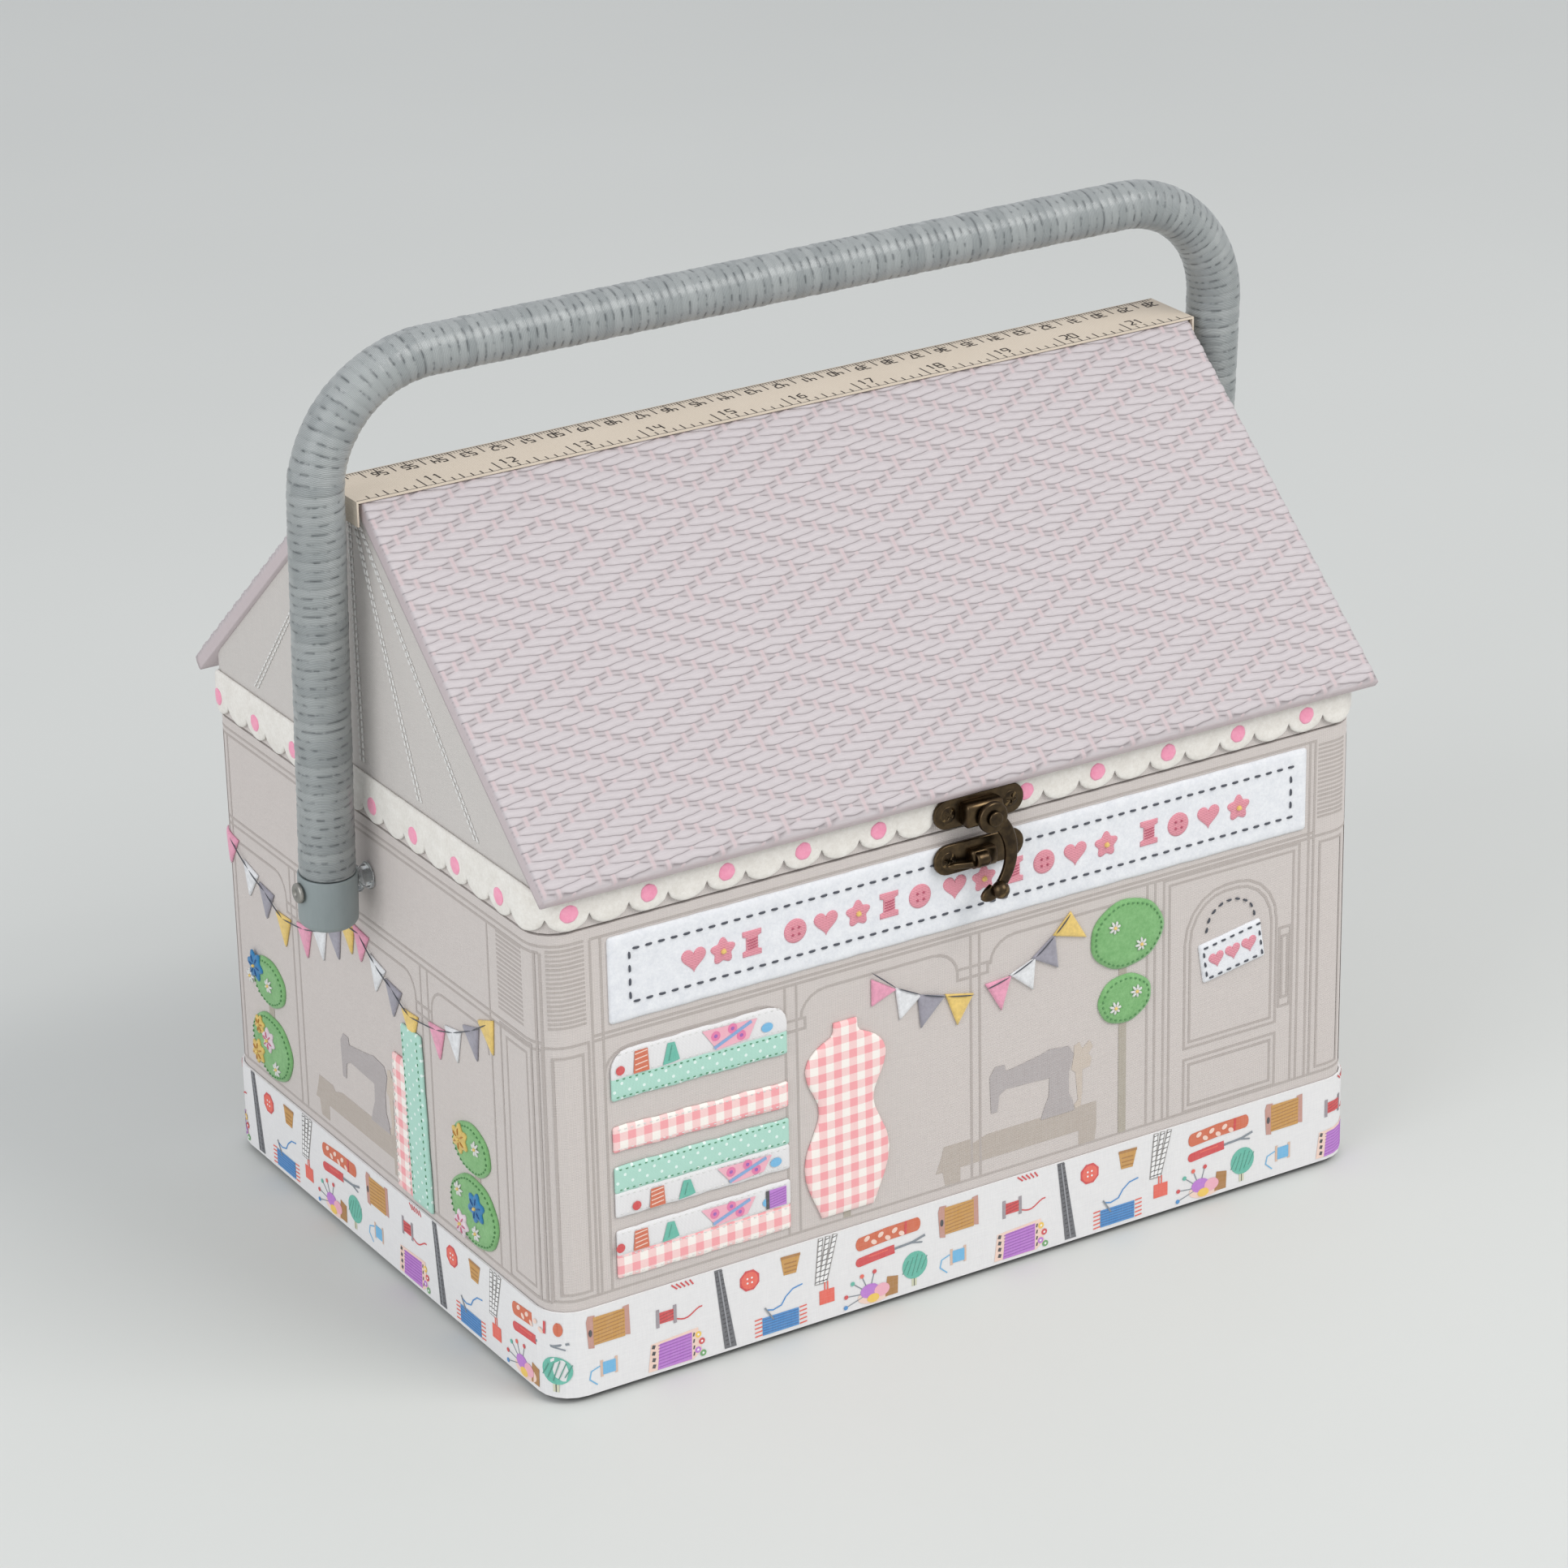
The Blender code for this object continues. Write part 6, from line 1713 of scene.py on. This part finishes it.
# The plates, each with its lug; the lower lug holds the pin of the ball.
pivot, ball_middle = middle_of("hook_pivot"), middle_of("clasp_stud")
PLATE_THICK, PLATE_HALF_HIGH = 0.0012, 0.0049
PIN_THICKNESS = np.array([0.0003, 0.0009, 0.0010, 0.0010, 0.0010, 0.0010])  # half of it, from its bent end on
for word, body in (("upper", "lid"), ("lower", "box")):
    low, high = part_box(f"clasp_plate_{word}")
    screws = [middle_of(f"clasp_screw_{word}_{side}") for side in ("left", "right")]
    middle = np.array([(low.x + high.x) / 2, screws[0][1]])
    back, front = -high.y, -high.y + PLATE_THICK
    shells = [oblong(middle, (high.x - low.x) / 2, PLATE_HALF_HIGH, back, front, 0.0005)]
    if word == "upper":
        lug = middle + (-0.0005, -0.0006)
        shells.append(block(lug, 0.0065, 0.0039, back + 0.0004, clasp_back - 0.0008))
        collar = [(0, 0), (0.0036, 0), *soft_corner((0.0032, 0.0020), 0.0004, 0), (0, 0.0024)]
        shells.append(lathe(collar, (pivot[0], -(clasp_back - 0.0026), pivot[1]), FORWARD, 40))
    else:
        lug = middle + (0.0002, -0.0009)
        shells.append(block(lug, 0.0046, 0.0031, back + 0.0004, clasp_back - 0.0024))
        pin = [(ball_middle[0] - 0.0115 + 0.002 * k, ball_middle[1] + 0.0003 * (1 - k)) for k in range(6)]
        shells.append(arm(pin, PIN_THICKNESS, PIN_THICKNESS, np.full(6, clasp_back - 0.0029), 20))
    cast(f"plate_{word}_cast", shells, bronze, body, [f"clasp_plate_{word}"])
    for side, spot, turn in zip(("left", "right"), screws, (0.5, 0.15)):
        cast(f"screw_{word}_{side}_head", [screw_head(spot, front, turn)], bronze, body,
             [f"clasp_screw_{word}_{side}"])
stud_low, stud_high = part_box("clasp_stud")
stud_profile = [(0, -0.0021), *soft_corner((0.0017, -0.0013), 0.0008, -math.pi / 2, count=6),
                *soft_corner((0.0017, 0.0013), 0.0008, 0, count=6), (0, 0.0021)]
turned("stud_cast", [(r * 1.02, h * 1.1) for r, h in stud_profile],
       (ball_middle[0] + 0.0003, (stud_low.y + stud_high.y) / 2, ball_middle[1]),
       ((0, 1, 0), (0, 0, 1), (1, 0, 0)), bronze, "box", ["clasp_stud"], 40)

# The hook: an eye round the pivot, an arm that curls down and under in a long arc, and a ball at its toe.
ARC, ARC_START, ARC_END = 0.01545, math.radians(54.6), math.radians(-45.9)
TOE_ARC, TOE_TURN = 0.0034, math.radians(95)
hub = pivot - ARC * np.array([math.cos(ARC_START), math.sin(ARC_START)])
swing = np.linspace(ARC_START, ARC_END, 34)
path = hub + ARC * np.stack([np.cos(swing), np.sin(swing)], 1)
toe = path[-1]
toe_hub = toe - TOE_ARC * np.array([math.cos(ARC_END), math.sin(ARC_END)])
curl_swing = np.linspace(ARC_END, ARC_END - TOE_TURN, 14)[1:]
path = np.concatenate([path, toe_hub + TOE_ARC * np.stack([np.cos(curl_swing), np.sin(curl_swing)], 1)])
along = np.linspace(0, 1, len(path))
half_wide = 0.0026 - 0.0009 * np.clip(along / 0.7, 0, 1) + 0.0011 * np.clip((along - 0.72) / 0.2, 0, 1)
half_wide *= np.sqrt(np.clip((1.004 - along) / 0.05, 0, 1))
half_thick = HOOK_THICK / 2 * np.sqrt(np.clip((1.01 - along) / 0.04, 0.02, 1))
eye = [(0.0017, 0), *soft_corner((0.0045, 0.0005), 0.0005, -math.pi / 2),
       *soft_corner((0.0043, HOOK_THICK - 0.0007), 0.0007, 0),
       *soft_corner((0.0022, HOOK_THICK - 0.0005), 0.0005, math.pi / 2), (0.0017, 0)]
cast("hook_cast", [
    lathe(eye, (pivot[0], -clasp_back, pivot[1]), FORWARD, 56),
    arm(path[4:], half_wide[4:], half_thick[4:], np.full(len(path) - 4, clasp_back + HOOK_THICK / 2)),
    ball(toe, clasp_face + 0.0004, 0.0028),
], bronze, "hook", ["clasp_hook"])
pin_foot = -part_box("hook_pivot")[1].y
head = [(0.0012, clasp_face + 0.0003), (0.0024, clasp_face + 0.0003),
        *soft_corner((0.0019, clasp_face + 0.0008), 0.0005, 0), (0.0010, clasp_face + 0.0013),
        (0, clasp_face + 0.00135)]
turned("pivot_cast", [(0, pin_foot), (0.0012, pin_foot), *head],
       (pivot[0], 0, pivot[1]), FORWARD, bronze, "lid", ["hook_pivot"], 40)

# The inside: card pads under pink gingham line the floor, the walls and the lid, and a stuffed pincushion is
# glued to the lid. Each is a cover blown up from within, so it is full in its middle and drawn in at its
# edges, and the filling never lifts it further than its own cap.

LINING_PINK, LINING_CREAM = tint(240, 172, 182), tint(248, 242, 236)


def lining_finish(name, first, second, every=0.0076):
    """Gingham and a fine weave along the two directions that the pad lies in."""
    made = Finish(name, Roughness=0.92, Specular_IOR_Level=0.2, Sheen_Weight=0.15)
    where, x, y, z = made.place()
    a = x * first[0] + y * first[1] + z * first[2]
    b = x * second[0] + y * second[1] + z * second[2]
    weave = (a * 2400).wave() * 0.5 + (b * 2400).wave() * 0.5
    share = ((a / every).part() < 0.5) * 0.45 + ((b / every).part() < 0.5) * 0.45 + weave * 0.1 - 0.03
    made.colour(made.mix(share, LINING_CREAM, LINING_PINK))
    crease = made.noise(made.stretch(where, (60, 60, 60)), 1.0, 3.0)
    made.raise_by(weave * 0.5 + crease * 3.0, 0.00012, 0.7)
    return made


SLOPE_UP = (0, math.cos(PITCH), math.sin(PITCH))
lining_flat = lining_finish("lining_gingham_floor", (1, 0, 0), (0, 1, 0))
lining_long = lining_finish("lining_gingham_long", (1, 0, 0), (0, 0, 1))
lining_end = lining_finish("lining_gingham_end", (0, 1, 0), (0, 0, 1))
lining_front = lining_finish("lining_gingham_front_slope", (1, 0, 0), SLOPE_UP)
lining_back = lining_finish("lining_gingham_back_slope", (1, 0, 0), (0, -SLOPE_UP[1], SLOPE_UP[2]))
cushion_cloth = Finish("pincushion_cotton", Roughness=0.9, Specular_IOR_Level=0.2, Sheen_Weight=0.2)
_, cushion_x, cushion_y, cushion_z = cushion_cloth.place()
along_up = cushion_y * -SLOPE_UP[1] + cushion_z * SLOPE_UP[2]
cushion_dots = (((cushion_x / 0.009).part() - 0.5) ** 2.0 + ((along_up / 0.009).part() - 0.5) ** 2.0) < 0.03
cushion_weave = (cushion_x * 2400).wave() * 0.5 + (along_up * 2400).wave() * 0.5
cushion_ground = cushion_cloth.mix(cushion_weave, MINT_DARK, MINT)
cushion_cloth.colour(cushion_cloth.mix(cushion_dots, cushion_ground, LINING_CREAM))
cushion_cloth.raise_by(cushion_weave, 0.0001, 0.7)

pads = []


def pad(name, centre, sizes, tilt, body, finish, node, fill, cap, voxel):
    """A cover as a block with rounded edges, a little smaller than its place, ready to be blown up."""
    work = bmesh.new()
    bmesh.ops.create_cube(work, size=1)
    inner = [size - 2 * min(cap, 0.22 * size) for size in sizes]
    bmesh.ops.scale(work, vec=inner, verts=work.verts)
    bmesh.ops.bevel(work, geom=work.edges[:], offset=min(inner) * 0.3, segments=3, affect="EDGES", profile=0.5)
    mesh = bpy.data.meshes.new(name)
    work.to_mesh(mesh)
    work.free()
    obj = shown(name, mesh, finish)
    remesh = obj.modifiers.new("even_squares", "REMESH")
    remesh.mode, remesh.voxel_size = "VOXEL", voxel
    settled(obj)
    place_at = Matrix.Translation(centre) @ Matrix.Rotation(tilt, 4, "X")
    pads.append((obj, sizes, place_at, body, node, fill, cap))


def settled(obj):
    """Take the mesh as its modifiers leave it, and remove them."""
    bpy.context.view_layer.update()
    mesh = bpy.data.meshes.new_from_object(obj.evaluated_get(bpy.context.evaluated_depsgraph_get()))
    obj.modifiers.clear()
    obj.data = mesh


def pad_from(name, node, finish, fill, cap, voxel, body="box"):
    low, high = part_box(node)
    pad(name, (low + high) / 2, list(high - low), 0.0, body, finish, node, fill, cap, voxel)


pad_from("floor_cushion", "floor_pad", lining_flat, 0.4, 0.0009, 0.003)
for side in ("front", "back"):
    pad_from(f"wall_pad_{side}", f"liner_{side}", lining_long, 0.5, 0.0011, 0.003)
for side in ("left", "right"):
    pad_from(f"wall_pad_{side}", f"liner_{side}", lining_end, 0.5, 0.0011, 0.003)


def under_slope(along, deep, side):
    """A point that far up the slope from the eave's lower edge, and that deep below the roof's face."""
    inwards = along * math.cos(PITCH) + deep * math.sin(PITCH)
    up = along * math.sin(PITCH) - deep * math.cos(PITCH)
    return (0, side * (-EAVE[0] - inwards), EAVE[1] + up)


LINING_FROM, LINING_TO, LINING_THICK = 0.0122, SLOPE - 0.0038, 0.0019
LINING_DEEP = ROOF_BOARD + 0.0003 + 0.00075
for side, word, cloth in ((-1, "front", lining_front), (1, "back", lining_back)):
    middle = (LINING_FROM + LINING_TO) / 2
    low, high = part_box(f"lid_lining_{word}")
    sizes = [high.x - low.x, LINING_TO - LINING_FROM, LINING_THICK]
    pad(f"lid_pad_{word}", under_slope(middle, LINING_DEEP + 0.0002, side), sizes, -side * PITCH, "lid", cloth,
        f"lid_lining_{word}", 0.2, 0.0003, 0.0022)
low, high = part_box("pincushion")
CUSHION_WIDE, CUSHION_THICK, CUSHION_DOWN = 0.050, 0.0122, 0.043
cushion_deep = ROOF_BOARD + 0.0006 + 0.0015 + 0.006 + 0.0003
pad("pincushion_cover", under_slope(SLOPE - CUSHION_DOWN, cushion_deep, 1),
    [high.x - low.x, CUSHION_WIDE, CUSHION_THICK], -PITCH, "lid", cushion_cloth, "pincushion", 0.9, 0.0026, 0.0028)

BLOWN = 20  # moments of the simulation
starts = []
for obj, *_ in pads:
    starts.append(points_of(obj.data))
    cover = obj.modifiers.new("cover", "CLOTH")
    cover.settings.use_pressure = True
    cover.settings.uniform_pressure_force = 4.0
    cover.settings.quality = 5
    cover.settings.effector_weights.gravity = 0
    cover.point_cache.frame_end = BLOWN
for moment in range(1, BLOWN + 1):
    scene.frame_set(moment)
for (obj, sizes, *_, cap), start in zip(pads, starts):
    settled(obj)
    moved = points_of(obj.data) - start
    reach = np.linalg.norm(moved, axis=1, keepdims=True)
    moved = moved * np.minimum(1, cap / np.maximum(reach, 1e-9))
    half = np.array(sizes) / 2
    move_points(obj.data, np.clip(start + moved, -half, half))
scene.frame_set(1)

for obj, _, place_at, body, node, fill, _ in pads:
    smooth = obj.modifiers.new("smooth", "SUBSURF")
    smooth.levels = smooth.render_levels = 1
    settled(obj)
    if node == "pincushion":
        spots = points_of(obj.data)
        for x in (-0.034, 0, 0.034):
            dip = 0.0032 * np.exp(-((spots[:, 0] - x) ** 2 + spots[:, 1] ** 2) / 0.006**2)
            spots[:, 2] += np.where(spots[:, 2] < 0, dip, 0)
        move_points(obj.data, spots)
    obj.data.transform(place_at)
    obj.data.shade_smooth()
    fitted(obj, body, [node])

# The hinge: a strip of the lining cloth glued inside the back edge, one half to the wall and one to the lid.

leaf_low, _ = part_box("hinge_cloth_body")
_, leaf_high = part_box("hinge_cloth_lid")
HINGE_THICK, HINGE_COLUMNS, HINGE_ROWS = 0.0005, 81, 41
x, z = np.meshgrid(np.linspace(leaf_low.x, leaf_high.x, HINGE_COLUMNS),
                   np.linspace(leaf_low.z, leaf_high.z, HINGE_ROWS))
y = leaf_high.y - HINGE_THICK - 0.00012 * np.sin(x * 260) * np.sin(z * 300)
cell = (np.arange(HINGE_ROWS - 1)[:, None] * HINGE_COLUMNS + np.arange(HINGE_COLUMNS - 1)[None]).ravel()
hinge = piece("hinge_cloth", np.stack([x, y, z], -1).reshape(-1, 3),
              np.stack([cell, cell + 1, cell + HINGE_COLUMNS + 1, cell + HINGE_COLUMNS], 1), lining_long)
wall = hinge.modifiers.new("cloth", "SOLIDIFY")
wall.thickness, wall.offset = HINGE_THICK, -1
settled(hinge)
hinge.data.shade_smooth()
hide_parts("hinge_cloth_body", "hinge_cloth_lid")
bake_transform(hinge)

# The trays: two thin moulded tubs of frosted plastic with a lip, each with loose dividers dropped into it.

tray_plastic = Finish("frosted_tray_plastic", Roughness=0.36, Specular_IOR_Level=0.5, IOR=1.49)
tray_plastic.shader.inputs["Transmission Weight"].default_value = 0.25
tray_place, *_ = tray_plastic.place()
mould = tray_plastic.noise(tray_place, 900, 2.0)
flow = tray_plastic.noise(tray_place, 30, 3.0)
tray_plastic.colour(tray_plastic.mix(flow, tint(236, 236, 233), tint(222, 224, 223)))
tray_plastic.rough(0.3 + mould * 0.2)
tray_plastic.raise_by(mould, 0.00004, 0.5)
dress(["tray_left", "tray_right", "tray_left_divider", "tray_right_divider"], tray_plastic)

low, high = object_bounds()
